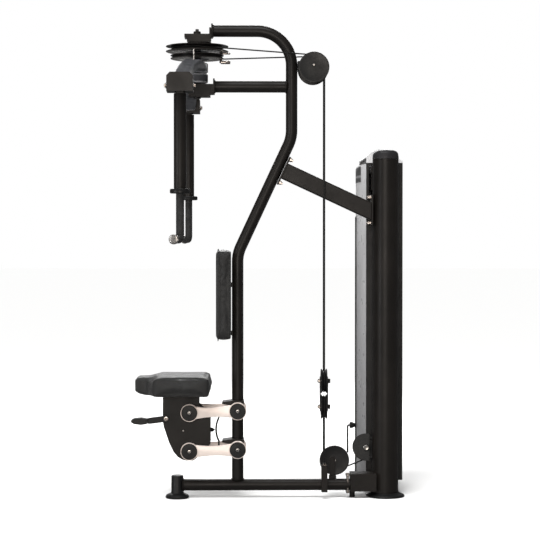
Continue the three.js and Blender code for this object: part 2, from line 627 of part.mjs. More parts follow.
function makeBlock(name, side) {
  const { half, low, high } = BLOCK;
  const x = HANDLE.x;
  const y = side * HANDLE.y;
  const outline = [[x - half, low], [x + half, low], [x + half, high - 14], [x + half - 14, high],
    [x - half + 14, high], [x - half, high - 14]];
  const endWall = 8; // the pocket is closed at both ends and open below
  const reach = half - endWall;
  const slot = box(x - 19, x + 19, y - reach, y + reach, low - 1, HANDLE.boltZ + 26);
  const bolt = join(barX(x - half - 11, x + half + 11, y, HANDLE.boltZ, 7, 12),
    barX(x - half - 5, x - half + 2, y, HANDLE.boltZ, 12, 12),
    barX(x + half - 2, x + half + 5, y, HANDLE.boltZ, 12, 12));
  add(name, join(cut(plateXZ(outline, y - half, y + half), slot), bolt), FRAME_BLACK);
}

function makeHandle(name, side) {
  const { x, boltZ } = HANDLE;
  const y = side * HANDLE.y;
  const tubeTop = 1730; // low enough for its rim to swing 12 degrees clear of the block
  const lug = join(box(x - 15, x + 15, y - 20, y + 20, tubeTop - 4, boltZ),
    barX(x - 15, x + 15, y, boltZ, 20, 20));
  const tube = join(barZ(1342, tubeTop, x, y, TUBE_R, TUBE_SIDES), barZ(1325, 1344, x, y, 41.5, 16));
  const bore = barZ(1300, tubeTop - 30, x, y, TUBE_R - WALL, 16);
  const boltHole = barX(x - 30, x + 30, y, boltZ, 8, 16);
  add(`${name}_handle`, cut(join(lug, tube), bore, boltHole), FRAME_BLACK);
  const lean = 0.26;
  const outX = x - 80 * Math.sin(lean);
  const outY = y + side * 80 * Math.cos(lean);
  const gripRoute = rounded([[x, y, 1325 - GAP, 0], [x, y, 1139, 22], [outX, outY, 1139, 0]], 22);
  const grip = swept(gripRoute, 17, 12);
  const end = v3(outX, outY, 1139);
  const outward = v3(-Math.sin(lean), side * Math.cos(lean), 0);
  const capFrom = end.clone().addScaledVector(outward, -1);
  const capTo = end.clone().addScaledVector(outward, 14);
  add(`${name}_grip`, join(grip, bar(capFrom, capTo, 20, 14)), PLASTIC_BLACK);
}

function makeArms() {
  makeBearings();
  makeCam('near_cam', NEAR_CAM, 1955, 4);
  makeCam('far_cam', FAR_CAM, 1917, 8);
  const nearPin = barZ(NEAR_HUB.high - 12, NEAR_CAM.low - 1, -199, -127, 4, 10);
  const farPin = barZ(FAR_HUB.high - 12, FAR_CAM.low - 1, -199, 100, 4, 10);
  makeArm('near_arm', -1, NEAR_HUB, nearPin);
  makeArm('far_arm', 1, FAR_HUB, farPin);
  ['near', 'far'].forEach((name, i) => {
    const side = 2 * i - 1;
    makeBlock(`${name}_block`, side);
    makeHandle(name, side);
  });
}

// ---- seat and back pad --------------------------------------------------

function makeLink(name, frameZ) {
  const seatX = LINK.frameX - LINK.length;
  const seatZ = frameZ - LINK.drop;
  const halves = [-1, 1].map((side) => {
    const inner = side * LINK_IN;
    const outer = side * (LINK_IN + LINK_T);
    const [y0, y1] = side < 0 ? [outer, inner] : [inner, outer];
    const capOuter = side * (LINK_IN + LINK_T + 5);
    const boss = (x, z) => join(barY(y0, y1, x, z, BOSS_R, 16),
      barY(Math.min(outer, capOuter) - 0.5, Math.max(outer, capOuter) + 0.5, x, z, 31, 12));
    const waist = plateXZ([[seatX, seatZ - 27], [(seatX + LINK.frameX) / 2, (seatZ + frameZ) / 2 - 21],
      [LINK.frameX, frameZ - 27], [LINK.frameX, frameZ + 27],
      [(seatX + LINK.frameX) / 2, (seatZ + frameZ) / 2 + 21], [seatX, seatZ + 27]], y0 + 1, y1 - 1);
    const pin = barY(Math.min(inner, side * 50), Math.max(inner, side * 50), seatX, seatZ, 10.5, 10);
    return join(boss(seatX, seatZ), boss(LINK.frameX, frameZ), waist, pin);
  });
  const lockRod = barY(-LINK_IN - 4, LINK_IN + 4, LINK.frameX - LOCK_PIN,
    frameZ - (LINK.drop * LOCK_PIN) / LINK.length, 6, 12);
  const bore = barY(-LINK_IN - 15, LINK_IN + 15, LINK.frameX, frameZ, 12, 10);
  add(name, cut(join(...halves, lockRod), bore), SILVER);
}

// A pivot bracket on the upright with its axle; both sides are alike.
function makeLinkBracket(name, z, tabZ) {
  const upright = barZ(0, 600, LOWER_X, 0, TUBE_CLEAR_R, 14);
  const tab = plateXZ([[-80, tabZ - 6], [-34, tabZ - 14], [18, tabZ - 14], [18, tabZ + 6], [-34, tabZ + 8],
    [-76, tabZ + 3]], -44, 44);
  const cheeks = [[-44, -36], [36, 44]].map(([y0, y1]) => box(-34, 16, y0, y1, z - 24, tabZ));
  add(name, join(cut(tab, upright), ...cheeks, linkAxle(z, 10.5)), FRAME_BLACK);
}

function makeSeatCarriage() {
  const sidePoints = [[-338, 456], [-338, 345], [-334, 322], [-311, 252], [-291, 210], [-273, 189],
    [-254, 177], [-236, 172], [-205, 172], [-180, 190],
    [-130, 245], [-130, 365], [-180, 413], [-180, 456]];
  const seatX = LINK.frameX - LINK.length;
  const holes = [LINK.upperZ, LINK.lowerZ].map((z) => barY(-80, 80, seatX, z - LINK.drop, 12, 10));
  const sides = [[-PLATE_IN - PLATE_T, -PLATE_IN], [PLATE_IN, PLATE_IN + PLATE_T]]
    .map(([y0, y1]) => cut(plateXZ(sidePoints, y0, y1), ...holes));
  const top = box(-330, -190, -58, 58, 449, 456);
  const webZ = LINK.lowerZ + 80;
  const web = cut(box(-150, -143, -58, 58, webZ - 34, webZ + 34), barX(-160, -135, 0, webZ, 7, 12));
  add('seat_carriage', join(...sides, top, web), FRAME_BLACK);
  const plunger = join(barX(-170, -118, 0, webZ, 6, 12), barX(-131, -119, 0, webZ, 9, 12),
    bar(v3(-119, 0, webZ), v3(-111.5, 0, webZ), 6, 12, 2));
  add('lock_plunger', plunger, PLASTIC_BLACK);
  const leverX = -323.5;
  const lever = join(
    plateXZ([[leverX - 12, 345], [leverX + 10, 345], [leverX + 10, 369], [leverX - 12, 369]], -70, -64),
    plateXZ([[-412, 338], [-395, 334], [leverX, 343], [leverX, 370], [-395, 361], [-412, 357]], -78, -66),
    plateXZ([[-475, 346], [-462, 337], [-430, 333], [-405, 337], [-405, 358], [-430, 363], [-462, 360],
      [-473, 354]], -108, -62),
    barY(-82, -63.3, leverX, 357, 8, 10),
  );
  add('seat_lever', lever, PLASTIC_BLACK);
}

function makeLockBar() {
  const centreX = 8;
  const midZ = (LINK.upperZ + LINK.lowerZ) / 2 - (LINK.drop * LOCK_PIN) / LINK.length;
  const half = (LINK.upperZ - LINK.lowerZ) / 2;
  const outer = arc(centreX, midZ, 118, 153, 207, 8);
  const inner = arc(centreX, midZ, 110, 207, 153, 8);
  const pinX = LINK.frameX - LOCK_PIN;
  const outline = [[pinX - 4, midZ + half], ...outer, [pinX - 4, midZ - half], [pinX + 5, midZ - half],
    ...inner, [pinX + 5, midZ + half]];
  const eyes = [-half, half].map((dz) => barY(-5, 5, pinX, midZ + dz, 12, 16));
  const bores = [-half, half].map((dz) => barY(-8, 8, pinX, midZ + dz, 6.6, 16));
  add('lock_bar', cut(join(plateXZ(outline, -5, 5), ...eyes), ...bores), FRAME_BLACK);
}

function roundedPlan(points, radius) {
  const corners = points.map(([x, y]) => v3(x, y, 0));
  const count = corners.length;
  return corners.flatMap((corner, i) => {
    const before = corners[(i + count - 1) % count];
    const after = corners[(i + 1) % count];
    const curve = new THREE.QuadraticBezierCurve3(
      corner.clone().add(before.clone().sub(corner).setLength(radius)),
      corner,
      corner.clone().add(after.clone().sub(corner).setLength(radius)),
    );
    return curve.getPoints(4).map((point) => [point.x, point.y]);
  });
}

function makeSeatCushion() {
  const { front, back, low, top, half, noseHalf } = SEAT;
  const outline = roundedPlan([[front, -noseHalf], [-414, -noseHalf], [-374, -half], [back, -half],
    [back, half], [-374, half], [-414, noseHalf], [front, noseHalf]], 16);
  const rise = plateXZ([[front - 5, low - 5], [-395, low - 5], [-395, low], [front - 5, low + 17]], -200, 200);
  add('seat_cushion', cut(plateXY(outline, low, top), rise), VINYL);
}

function makeBackPad() {
  const { front, back, low, high, half } = PAD;
  const shape = new THREE.Shape(roundedPlan([[low, -half], [high, -half], [high, half], [low, half]], 36)
    .map(([z, y]) => new THREE.Vector2(z, y)));
  const geometry = new THREE.ExtrudeGeometry(shape, { depth: back - front, bevelEnabled: false });
  geometry.rotateY(-Math.PI / 2);
  geometry.translate(back, 0, 0);
  add('back_pad', solid(geometry), VINYL);
}

function makeSeat() {
  makeSeatCushion();
  makeBackPad();
  makeSeatCarriage();
  makeLockBar();
  makeLink('upper_link', LINK.upperZ);
  makeLink('lower_link', LINK.lowerZ);
  makeLinkBracket('upper_link_bracket', LINK.upperZ, 424);
  makeLinkBracket('lower_link_bracket', LINK.lowerZ, 255);
}

makeUpright();
makeArmSupport();
makeBase();
makeBrace();
makeTowerFrame();
makeShroud();
makeStack();
makePulleys();
makePulleyBrackets();
makeArmCable();
makeStackCable();
makeArms();
makeSeat();

export default machine;
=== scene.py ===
"""Looks of the seated arm fly machine: smooth tubes, castings, cushions, cables and finishes."""

import bmesh
import bpy
import numpy as np
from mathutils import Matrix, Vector


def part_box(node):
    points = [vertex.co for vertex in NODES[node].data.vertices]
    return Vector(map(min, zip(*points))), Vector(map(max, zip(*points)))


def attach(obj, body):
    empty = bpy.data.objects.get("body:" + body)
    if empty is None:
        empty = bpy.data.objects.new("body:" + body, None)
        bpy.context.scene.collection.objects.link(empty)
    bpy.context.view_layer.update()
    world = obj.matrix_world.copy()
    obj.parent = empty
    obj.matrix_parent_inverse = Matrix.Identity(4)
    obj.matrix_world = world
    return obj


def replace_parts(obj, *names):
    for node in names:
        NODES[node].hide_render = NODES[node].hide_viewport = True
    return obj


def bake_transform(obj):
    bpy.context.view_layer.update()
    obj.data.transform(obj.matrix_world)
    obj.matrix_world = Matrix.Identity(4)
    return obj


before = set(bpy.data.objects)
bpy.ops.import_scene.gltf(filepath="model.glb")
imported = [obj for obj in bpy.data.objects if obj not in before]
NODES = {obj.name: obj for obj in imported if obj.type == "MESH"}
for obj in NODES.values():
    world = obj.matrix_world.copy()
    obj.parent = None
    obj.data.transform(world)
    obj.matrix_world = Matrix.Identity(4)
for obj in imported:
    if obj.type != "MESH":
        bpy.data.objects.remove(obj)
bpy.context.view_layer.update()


# The design's own coordinates: millimetres from the lower upright's plane. The near
# post's axis stands at x 644, y 30, which ties them to the frame.
post_low, post_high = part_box("near_post_foot")
SHIFT = np.array([0.644 - (post_low.x + post_high.x) / 2, 0.030 - (post_low.y + post_high.y) / 2, 0.0])


def place(x, y, z):
    """A design point in millimetres, as metres in the frame."""
    return np.array([x, y, z], float) / 1000 - SHIFT


def route_of(points):
    """Several design points in millimetres, as metres in the frame."""
    return np.array(points, float) / 1000 - SHIFT


# ---- mesh helpers ---------------------------------------------------------


def new_object(name, data):
    """An object in the scene for some mesh, camera or light data."""
    made = bpy.data.objects.new(name, data)
    bpy.context.scene.collection.objects.link(made)
    return made


def mesh_piece(name, vertices, faces, material, smooth=True):
    """A new object from vertices in the frame and lists of corner numbers."""
    mesh = bpy.data.meshes.new(name)
    mesh.from_pydata(np.asarray(vertices).tolist(), [], [list(map(int, f)) for f in faces])
    mesh.update()
    if smooth:
        mesh.polygons.foreach_set("use_smooth", np.ones(len(mesh.polygons), bool))
    mesh.materials.append(material)
    return new_object(name, mesh)


def grid_faces(rows, columns, close_columns=True):
    """Quads of a grid of rows by columns, the columns joined round if asked."""
    r = np.arange(rows - 1)[:, None]
    c = np.arange(columns if close_columns else columns - 1)[None, :]
    after = (c + 1) % columns
    quads = np.stack([r * columns + c, r * columns + after, (r + 1) * columns + after,
                      (r + 1) * columns + c], axis=-1)
    return quads.reshape(-1, 4)


def closed_loft(name, rings, material, smooth=True):
    """Rings of equal count joined by quads; a ring that isn't a point or a repeat gets a flat cap."""
    rings = np.asarray(rings)
    rows, columns = rings.shape[:2]
    faces = grid_faces(rows, columns).tolist()
    first, last = list(range(columns))[::-1], list(range((rows - 1) * columns, rows * columns))
    if not np.allclose(rings[0], rings[-1], atol=1e-7):
        ends = ((first, rings[0]), (last, rings[-1]))
        faces += [cap for cap, ring in ends if np.ptp(ring, axis=0).max() > 1e-7]
    piece = mesh_piece(name, rings.reshape(-1, 3), faces, material, smooth)
    outward(piece)
    return piece


def outward(piece):
    """Joins repeated vertices and turns every face of a closed mesh to point outwards."""
    work = bmesh.new()
    work.from_mesh(piece.data)
    bmesh.ops.remove_doubles(work, verts=work.verts, dist=1e-6)
    bmesh.ops.dissolve_degenerate(work, edges=work.edges, dist=1e-7)
    bmesh.ops.recalc_face_normals(work, faces=work.faces)
    work.to_mesh(piece.data)
    work.free()


def sharp_by_angle(piece, degrees=35):
    """Keeps edges sharper than the angle crisp while the rest is smooth."""
    piece.data.set_sharp_from_angle(angle=np.radians(degrees))
    return piece


AXES = {"x": np.array([[0, 0, 1], [0, 1, 0], [1, 0, 0]], float),
        "y": np.array([[1, 0, 0], [0, 0, 1], [0, 1, 0]], float),
        "z": np.eye(3)}


def spun(profile, centre, axis, sides):
    """Rings made by turning [radius, height] points in millimetres round an axis."""
    profile = np.array(profile, float) / 1000
    angle = np.linspace(0, 2 * np.pi, sides, endpoint=False)
    radius, height = profile[:, :1], profile[:, 1:]
    flat = np.stack([radius * np.cos(angle), radius * np.sin(angle), height + 0 * angle], axis=-1)
    return flat @ AXES[axis] + place(*centre)


def turned(name, profile, centre, axis, material, sides=64, degrees=30):
    """A profile of [radius, height] in millimetres turned round an axis through a centre."""
    return sharp_by_angle(closed_loft(name, spun(profile, centre, axis, sides), material), degrees)


def turned_ring(name, section, centre, axis, material, sides=72, degrees=35):
    """A closed section of [radius, height] turned into a ring, so its first point comes last too."""
    return turned(name, [*section, section[0]], centre, axis, material, sides, degrees)


def frames_along(path):
    """Two unit directions square to the path at each point, carried along without twist."""
    step = np.diff(path, axis=0)
    step /= np.linalg.norm(step, axis=1)[:, None]
    tangent = np.vstack([step[:1], step[:-1] + step[1:], step[-1:]])
    tangent /= np.linalg.norm(tangent, axis=1)[:, None]
    start = np.array([0, 1.0, 0]) if abs(tangent[0][1]) < 0.9 else np.array([1.0, 0, 0])
    side = np.zeros_like(tangent)
    current = start
    for i, t in enumerate(tangent):
        current = current - t * (current @ t)
        current = current / np.linalg.norm(current)
        side[i] = current
    return side, np.cross(tangent, side)


def rounded_route(corners, step_degrees=6):
    """Corners [x, y, z, radius] in millimetres; each inner corner becomes an arc."""
    points = [np.array(corners[0][:3], float)]
    for before, here, after in zip(corners, corners[1:], corners[2:]):
        corner, radius = np.array(here[:3], float), here[3]
        back = np.array(before[:3], float) - corner
        ahead = np.array(after[:3], float) - corner
        back /= np.linalg.norm(back)
        ahead /= np.linalg.norm(ahead)
        turn = np.pi - np.arccos(np.clip(back @ ahead, -1, 1))
        inward = (back + ahead) / np.linalg.norm(back + ahead)
        centre = corner + inward * radius / np.cos(turn / 2)
        start = corner + back * radius * np.tan(turn / 2) - centre
        across = np.cross(np.cross(ahead, back), start)
        across *= radius / np.linalg.norm(across)
        count = max(3, int(np.ceil(np.degrees(turn) / step_degrees)))
        angle = np.linspace(0, turn, count + 1)[:, None]
        points.extend(centre + np.cos(angle) * start + np.sin(angle) * across)
    points.append(np.array(corners[-1][:3], float))
    kept = [p for i, p in enumerate(points) if i == 0 or np.linalg.norm(p - points[i - 1]) > 0.05]
    return np.array(kept)


def tube(name, points, radius, material, sides=32):
    """A round bar through design points; radius in millimetres, or one for each point."""
    path = route_of(points)
    side, up = frames_along(path)
    radius = np.broadcast_to(np.array(radius, float) / 1000, (len(path),))[:, None, None]
    angle = np.linspace(0, 2 * np.pi, sides, endpoint=False)[None, :, None]
    rings = path[:, None] + radius * (np.cos(angle) * side[:, None] + np.sin(angle) * up[:, None])
    piece = closed_loft(name, rings, material)
    add_length_uv(piece, rings)
    return sharp_by_angle(piece, 50)


def add_length_uv(piece, rings):
    """Gives each vertex its distance along the piece in metres, as an attribute."""
    along = np.r_[0, np.cumsum(np.linalg.norm(np.diff(rings.mean(1), axis=0), axis=1))]
    values = np.repeat(along, rings.shape[1]).astype(np.float32)
    if len(values) == len(piece.data.vertices):
        piece.data.attributes.new("along", "FLOAT", "POINT").data.foreach_set("value", values)


def plate(name, outline, low, high, plane, material, bevel=1.2, segments=2):
    """A flat outline in millimetres given a thickness; plane xz, xy or yz. Edges are eased."""
    outline = np.array(outline, float)
    levels = np.array([low, high], float)
    order = {"xz": [0, 2, 1], "xy": [0, 1, 2], "yz": [2, 0, 1]}[plane]
    rings = [np.column_stack([outline, np.full(len(outline), level)])[:, order] for level in levels]
    rings = [route_of(ring) for ring in rings]
    piece = closed_loft(name, rings, material, smooth=False)
    ease(piece, bevel, segments)
    return piece


def ease(piece, width, segments=2):
    """A small bevel on sharp edges, with shading that keeps flats flat."""
    piece.data.polygons.foreach_set("use_smooth", np.ones(len(piece.data.polygons), bool))
    sharp_by_angle(piece, 30)
    modifier = piece.modifiers.new("eased edges", "BEVEL")
    modifier.width = width / 1000
    modifier.segments = segments
    modifier.limit_method = "ANGLE"
    modifier.angle_limit = np.radians(30)
    modifier.harden_normals = True
    return piece


def block(name, x0, x1, y0, y1, z0, z1, material, bevel=1.5, segments=3):
    """A block between two corners in millimetres with eased edges."""
    return plate(name, [[x0, y0], [x1, y0], [x1, y1], [x0, y1]], z0, z1, "xy", material, bevel, segments)


def merged_copy(name, node, material):
    """A copy of a CAD node's mesh with its loose triangles merged, in one material."""
    piece = new_object(name, NODES[node].data.copy())
    piece.data.materials.clear()
    piece.data.materials.append(material)
    outward(piece)
    return piece


def refined(node, body, slot, material, width=1.2, segments=2):
    """A merged copy of a CAD node, its flats joined and its edges eased, which stands for it."""
    piece = merged_copy(f"{node}_eased", node, material)
    work = bmesh.new()
    work.from_mesh(piece.data)
    bmesh.ops.dissolve_limit(work, angle_limit=np.radians(1), verts=work.verts, edges=work.edges)
    work.to_mesh(piece.data)
    work.free()
    ease(piece, width, segments)
    return dress(piece, body, slot, node)


def cut_from(piece, *tools):
    """Takes each tool's volume out of a piece and removes the tools."""
    for tool in tools:
        step = piece.modifiers.new(tool.name, "BOOLEAN")
        step.object = tool
        step.operation = "DIFFERENCE"
        step.solver = "EXACT"
    apply_modifiers(piece)
    for tool in tools:
        bpy.data.objects.remove(tool)
    return piece


def apply_modifiers(piece):
    """Bakes a piece's modifiers into its mesh."""
    graph = bpy.context.evaluated_depsgraph_get()
    baked = bpy.data.meshes.new_from_object(piece.evaluated_get(graph))
    piece.modifiers.clear()
    piece.data = baked
    return piece


def bolt(name, centre, axis, radius, height, material, flip=False):
    """A six sided bolt head with a turned washer face, standing along an axis."""
    sign = -1 if flip else 1
    angle = np.arange(6) * np.pi / 3
    levels = np.array([[1.22, 0], [1.22, 1.2], [1.0, 1.2], [1.0, height - 1.2], [0.9, height]])
    head = [np.stack([r * radius * np.cos(angle), r * radius * np.sin(angle),
                      0 * angle + sign * h], axis=-1) / 1000 for r, h in levels]
    rings = np.array(head) @ AXES[axis] + place(*centre)
    return sharp_by_angle(closed_loft(name, rings, material), 20)


def screw(name, centre, axis, radius, material, flip=False):
    """A domed socket screw: a turned dome with a round recess."""
    sign = -1 if flip else 1
    profile = [[0, 0], [radius, 0], [radius, 1.5], [radius * 0.85, 3.4], [radius * 0.5, 4.2],
               [radius * 0.42, 4.2], [radius * 0.42, 1.8], [0, 1.8]]
    return turned(name, [[r, sign * h] for r, h in profile], centre, axis, material, 24, 25)


def socket(name, centre, axis, radius, flip):
    """A dark hexagon at the bottom of a screw's recess: painted shade standing for the shadowed socket."""
    sign = -1 if flip else 1
    # painted shade: a black hexagon in the recess stands for the shade inside the steel socket
    profile = [[0, 1.9], [radius * 0.36, 1.9], [radius * 0.4, 2.6], [radius * 0.1, 2.2], [0, 2.2]]
    return turned(name, [[r, sign * h] for r, h in profile], centre, axis, PLASTIC, 6, 20)


def dress(piece, body, slot, *nodes):
    """Ties a piece to its body, and hides the CAD nodes it stands for; the slot is not used."""
    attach(piece, body)
    if nodes:
        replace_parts(piece, *nodes)
    return piece


# ---- materials --------------------------------------------------------------


class Finish:
    """A node material with a Principled shader and short ways to add its detail."""

    def __init__(self, name, colour, roughness, metallic=0.0, **inputs):
        """Starts a material; other shader inputs are named in lower case with underscores."""
        self.material = bpy.data.materials.new(name)
        self.material.use_nodes = True
        self.tree = self.material.node_tree
        self.shader = self.tree.nodes["Principled BSDF"]
        self.shader.inputs["Base Color"].default_value = (*colour, 1)
        self.shader.inputs["Roughness"].default_value = roughness
        self.shader.inputs["Metallic"].default_value = metallic
        for key, value in inputs.items():
            title = key.replace("_", " ").title().replace("Ior", "IOR")
            self.shader.inputs[title].default_value = value
        self.place = self.tree.nodes.new("ShaderNodeTexCoord").outputs["Object"]
        self.relief = None

    def node(self, kind, vector=None, **values):
        """A new node with some inputs set, and its Vector fed if a source is given."""
        node = self.tree.nodes.new(f"ShaderNode{kind}")
        for key, value in values.items():
            node.inputs[key].default_value = value
        if vector is not None:
            self.tree.links.new(vector, node.inputs["Vector"])
        return node

    def noise(self, scale, detail=3.0, rough=0.5, source=None):
        """Soft noise over the piece's own coordinates, or over a given source."""
        source = source or self.place
        return self.node("TexNoise", source, Scale=scale, Detail=detail, Roughness=rough).outputs["Fac"]

    def cells(self, scale, feature="F1", randomness=1.0):
        """Distances in a pattern of cells."""
        node = self.node("TexVoronoi", self.place, Scale=scale, Randomness=randomness)
        node.feature = feature
        return node.outputs["Distance"]

    def stretched(self, x, y, z):
        """The piece's own coordinates scaled along each axis."""
        return self.node("Mapping", self.place, Scale=(x, y, z)).outputs["Vector"]

    def upward(self):
        """The height of each point in the piece's own coordinates."""
        return self.node("SeparateXYZ", self.place).outputs["Z"]

    def ramp(self, source, *stops):
        """A source turned into colours by [position, colour] stops."""
        node = self.node("ValToRGB")
        elements = node.color_ramp.elements
        while len(elements) < len(stops):
            elements.new(0.5)
        for element, (position, colour) in zip(elements, stops):
            element.position = position
            element.color = (*colour, 1)
        self.tree.links.new(source, node.inputs["Fac"])
        return node.outputs["Color"]

    def range(self, source, low, high, to_low, to_high):
        """A source between low and high moved to lie between two other values."""
        limits = {"From Min": low, "From Max": high, "To Min": to_low, "To Max": to_high}
        node = self.node("MapRange", **limits)
        self.tree.links.new(source, node.inputs["Value"])
        return node.outputs["Result"]

    def feed(self, entries, values):
        """Sets or links each entry of a node: a number or a colour is set, an output is linked."""
        for entry, value in zip(entries, values):
            if isinstance(value, (int, float)):
                entry.default_value = value
            elif isinstance(value, tuple):
                entry.default_value = (*value, 1)
            else:
                self.tree.links.new(value, entry)

    def maths(self, operation, a, b):
        """The result of a sum, product or other operation on two values."""
        node = self.node("Math")
        node.operation = operation
        self.feed(node.inputs, (a, b))
        return node.outputs["Value"]

    def mix(self, factor, a, b):
        """Two colours blended by a factor."""
        node = self.node("Mix")
        node.data_type = "RGBA"
        self.tree.links.new(factor, node.inputs["Factor"])
        self.feed([entry for entry in node.inputs if entry.type == "RGBA"], (a, b))
        return next(output for output in node.outputs if output.type == "RGBA")

    def edges(self, width=0.0012):
        """A factor that rises where the surface bends sharply."""
        node = self.node("Bevel", Radius=width)
        dot = self.node("VectorMath")
        dot.operation = "DOT_PRODUCT"
        self.tree.links.new(node.outputs["Normal"], dot.inputs[0])
        self.tree.links.new(self.node("NewGeometry").outputs["Normal"], dot.inputs[1])
        return self.range(dot.outputs["Value"], 0.99, 0.9, 0, 1)

    def colour(self, output):
        """Links an output to the base colour."""
        self.tree.links.new(output, self.shader.inputs["Base Color"])
        return self

    def roughness(self, output):
        """Links an output to the roughness."""
        self.tree.links.new(output, self.shader.inputs["Roughness"])
        return self

    def bump(self, height, strength, distance):
        """Adds a layer of surface relief on top of the layers already there."""
        node = self.node("Bump", Strength=strength, Distance=distance)
        self.tree.links.new(height, node.inputs["Height"])
        if self.relief is not None:
            self.tree.links.new(self.relief, node.inputs["Normal"])
        self.relief = node.outputs["Normal"]
        self.tree.links.new(self.relief, self.shader.inputs["Normal"])
        return self


def powder_coat():
    """Satin black powder coat: fine orange peel, faint brown cast, dust and rubbed edges."""
    f = Finish("frame_paint", (0.012, 0.0105, 0.0095), 0.4, 0.0, specular_ior_level=0.26)
    peel = f.noise(900, 2)
    tone = f.ramp(f.noise(7, 4), (0.3, (0.0060, 0.0052, 0.0046)), (0.75, (0.0105, 0.0088, 0.0076)))
    f.colour(f.mix(f.edges(), tone, (0.026, 0.023, 0.021)))
    f.roughness(f.range(f.noise(16, 5), 0.3, 0.75, 0.34, 0.46))
    return f.bump(peel, 0.22, 0.0004).bump(f.cells(420), 0.08, 0.0003).material


def moulded_black(name="black_plastic", colour=(0.0055, 0.0055, 0.0055), roughness=0.38):
    """Injection moulded black plastic: fine spark texture and slightly scuffed patches."""
    f = Finish(name, colour, roughness, specular_ior_level=0.35)
    bright = tuple(2.0 * c for c in colour)
    f.colour(f.ramp(f.noise(11, 4), (0.35, colour), (0.85, bright)))
    f.roughness(f.range(f.noise(25, 4), 0.3, 0.7, roughness - 0.06, roughness + 0.1))
    return f.bump(f.noise(1600, 2), 0.3, 0.0003).material


def textured_guard():
    """Coarsely textured black polymer, as on a moulded pulley guard."""
    f = Finish("guard_texture", (0.016, 0.015, 0.014), 0.62)
    grain = f.cells(330)
    f.colour(f.ramp(grain, (0.1, (0.03, 0.028, 0.026)), (0.6, (0.010, 0.010, 0.010))))
    return f.bump(grain, 0.7, 0.0006).material


def cast_grey():
    """Grey painted casting: grainy surface, lighter rubbed edges and a soft mottled tone."""
    f = Finish("cast_arm", (0.05, 0.051, 0.056), 0.36, 0.3)
    tone = f.ramp(f.noise(9, 5), (0.3, (0.034, 0.035, 0.039)), (0.75, (0.075, 0.077, 0.084)))
    f.colour(f.mix(f.edges(0.007), tone, (0.50, 0.50, 0.52)))
    f.roughness(f.range(f.noise(40, 3), 0.3, 0.7, 0.34, 0.5))
    return f.bump(f.noise(350, 4), 0.35, 0.0006).material


def polished_link():
    """Polished warm aluminium with fine brush lines along the link and cloudy polish."""
    f = Finish("bright_link", (0.78, 0.68, 0.62), 0.42, 0.3)
    lines = f.noise(60, 4, 0.6, f.stretched(1, 30, 30))
    f.colour(f.ramp(f.noise(14, 3), (0.3, (0.70, 0.60, 0.545)), (0.7, (0.80, 0.71, 0.655))))
    f.roughness(f.range(lines, 0.35, 0.65, 0.36, 0.5))
    return f.bump(lines, 0.08, 0.0003).material


def zinc(name="zinc_steel", colour=(0.72, 0.69, 0.66)):
    """Bright plated steel of bolts and pins: small spangles and turning marks."""
    f = Finish(name, colour, 0.25, 1.0)
    dark = tuple(0.75 * c for c in colour)
    f.colour(f.ramp(f.noise(120, 3), (0.3, dark), (0.75, colour)))
    f.roughness(f.range(f.noise(300, 3), 0.3, 0.7, 0.2, 0.36))
    return f.bump(f.noise(700, 2), 0.1, 0.0002).material


def grained_vinyl():
    """Black upholstery vinyl: leather cells, pores, soft creases and a low sheen."""
    f = Finish("vinyl", (0.022, 0.022, 0.0225), 0.5, 0.0, specular_ior_level=0.4, sheen_weight=0.05,
               sheen_roughness=0.4)
    grain = f.cells(520, "DISTANCE_TO_EDGE", 0.95)
    pores = f.noise(2600, 2)
    tone = f.ramp(f.noise(8, 4), (0.3, (0.013, 0.0128, 0.0126)), (0.8, (0.021, 0.0208, 0.0206)))
    f.colour(f.mix(f.range(grain, 0.0, 0.09, 0.0, 1.0), (0.010, 0.010, 0.010), tone))
    f.roughness(f.range(f.noise(30, 4), 0.3, 0.7, 0.42, 0.58))
    f.bump(f.range(grain, 0.0, 0.12, 0.0, 1.0), 0.35, 0.0005)
    return f.bump(pores, 0.12, 0.0002).bump(f.noise(18, 3), 0.12, 0.002).material


def thread():
    """Twisted sewing thread and piping, a shade lighter than the vinyl."""
    f = Finish("seam_thread", (0.035, 0.035, 0.036), 0.7)
    return f.bump(f.noise(900, 2, 0.5, f.stretched(1, 1, 4)), 0.5, 0.0004).material


def foam_grip():
    """Closed cell rubber grip: dense pin holes and a dry dusty bloom."""
    f = Finish("grip_rubber", (0.014, 0.014, 0.014), 0.72)
    f.colour(f.ramp(f.noise(35, 5), (0.3, (0.011, 0.011, 0.011)), (0.8, (0.026, 0.026, 0.026))))
    return f.bump(f.cells(900), 0.4, 0.0004).bump(f.noise(240, 3), 0.2, 0.0005).material


def cable_jacket():
    """Nylon coated cable: smooth black jacket with the lay of the strands faintly showing."""
    f = Finish("cable_jacket", (0.005, 0.005, 0.005), 0.4, 0.0, specular_ior_level=0.25)
    f.colour(f.ramp(f.noise(60, 3), (0.3, (0.004, 0.004, 0.004)), (0.8, (0.008, 0.008, 0.008))))
    attribute = f.tree.nodes.new("ShaderNodeAttribute")
    attribute.attribute_name = "along"
    wave = f.maths("SINE", f.maths("MULTIPLY", attribute.outputs["Fac"], 900.0), 0.0)
    return f.bump(wave, 0.15, 0.0002).material


def cast_iron_plate():
    """Machined weight plate: dark iron, fine milling across it and oily patches."""
    f = Finish("weight_steel", (0.05, 0.05, 0.052), 0.4, 0.7)
    f.colour(f.ramp(f.noise(20, 4), (0.3, (0.03, 0.03, 0.031)), (0.8, (0.09, 0.09, 0.092))))
    f.roughness(f.range(f.noise(60, 3), 0.3, 0.7, 0.3, 0.55))
    return f.bump(f.noise(260, 3, 0.5, f.stretched(8, 1, 1)), 0.3, 0.0005).material


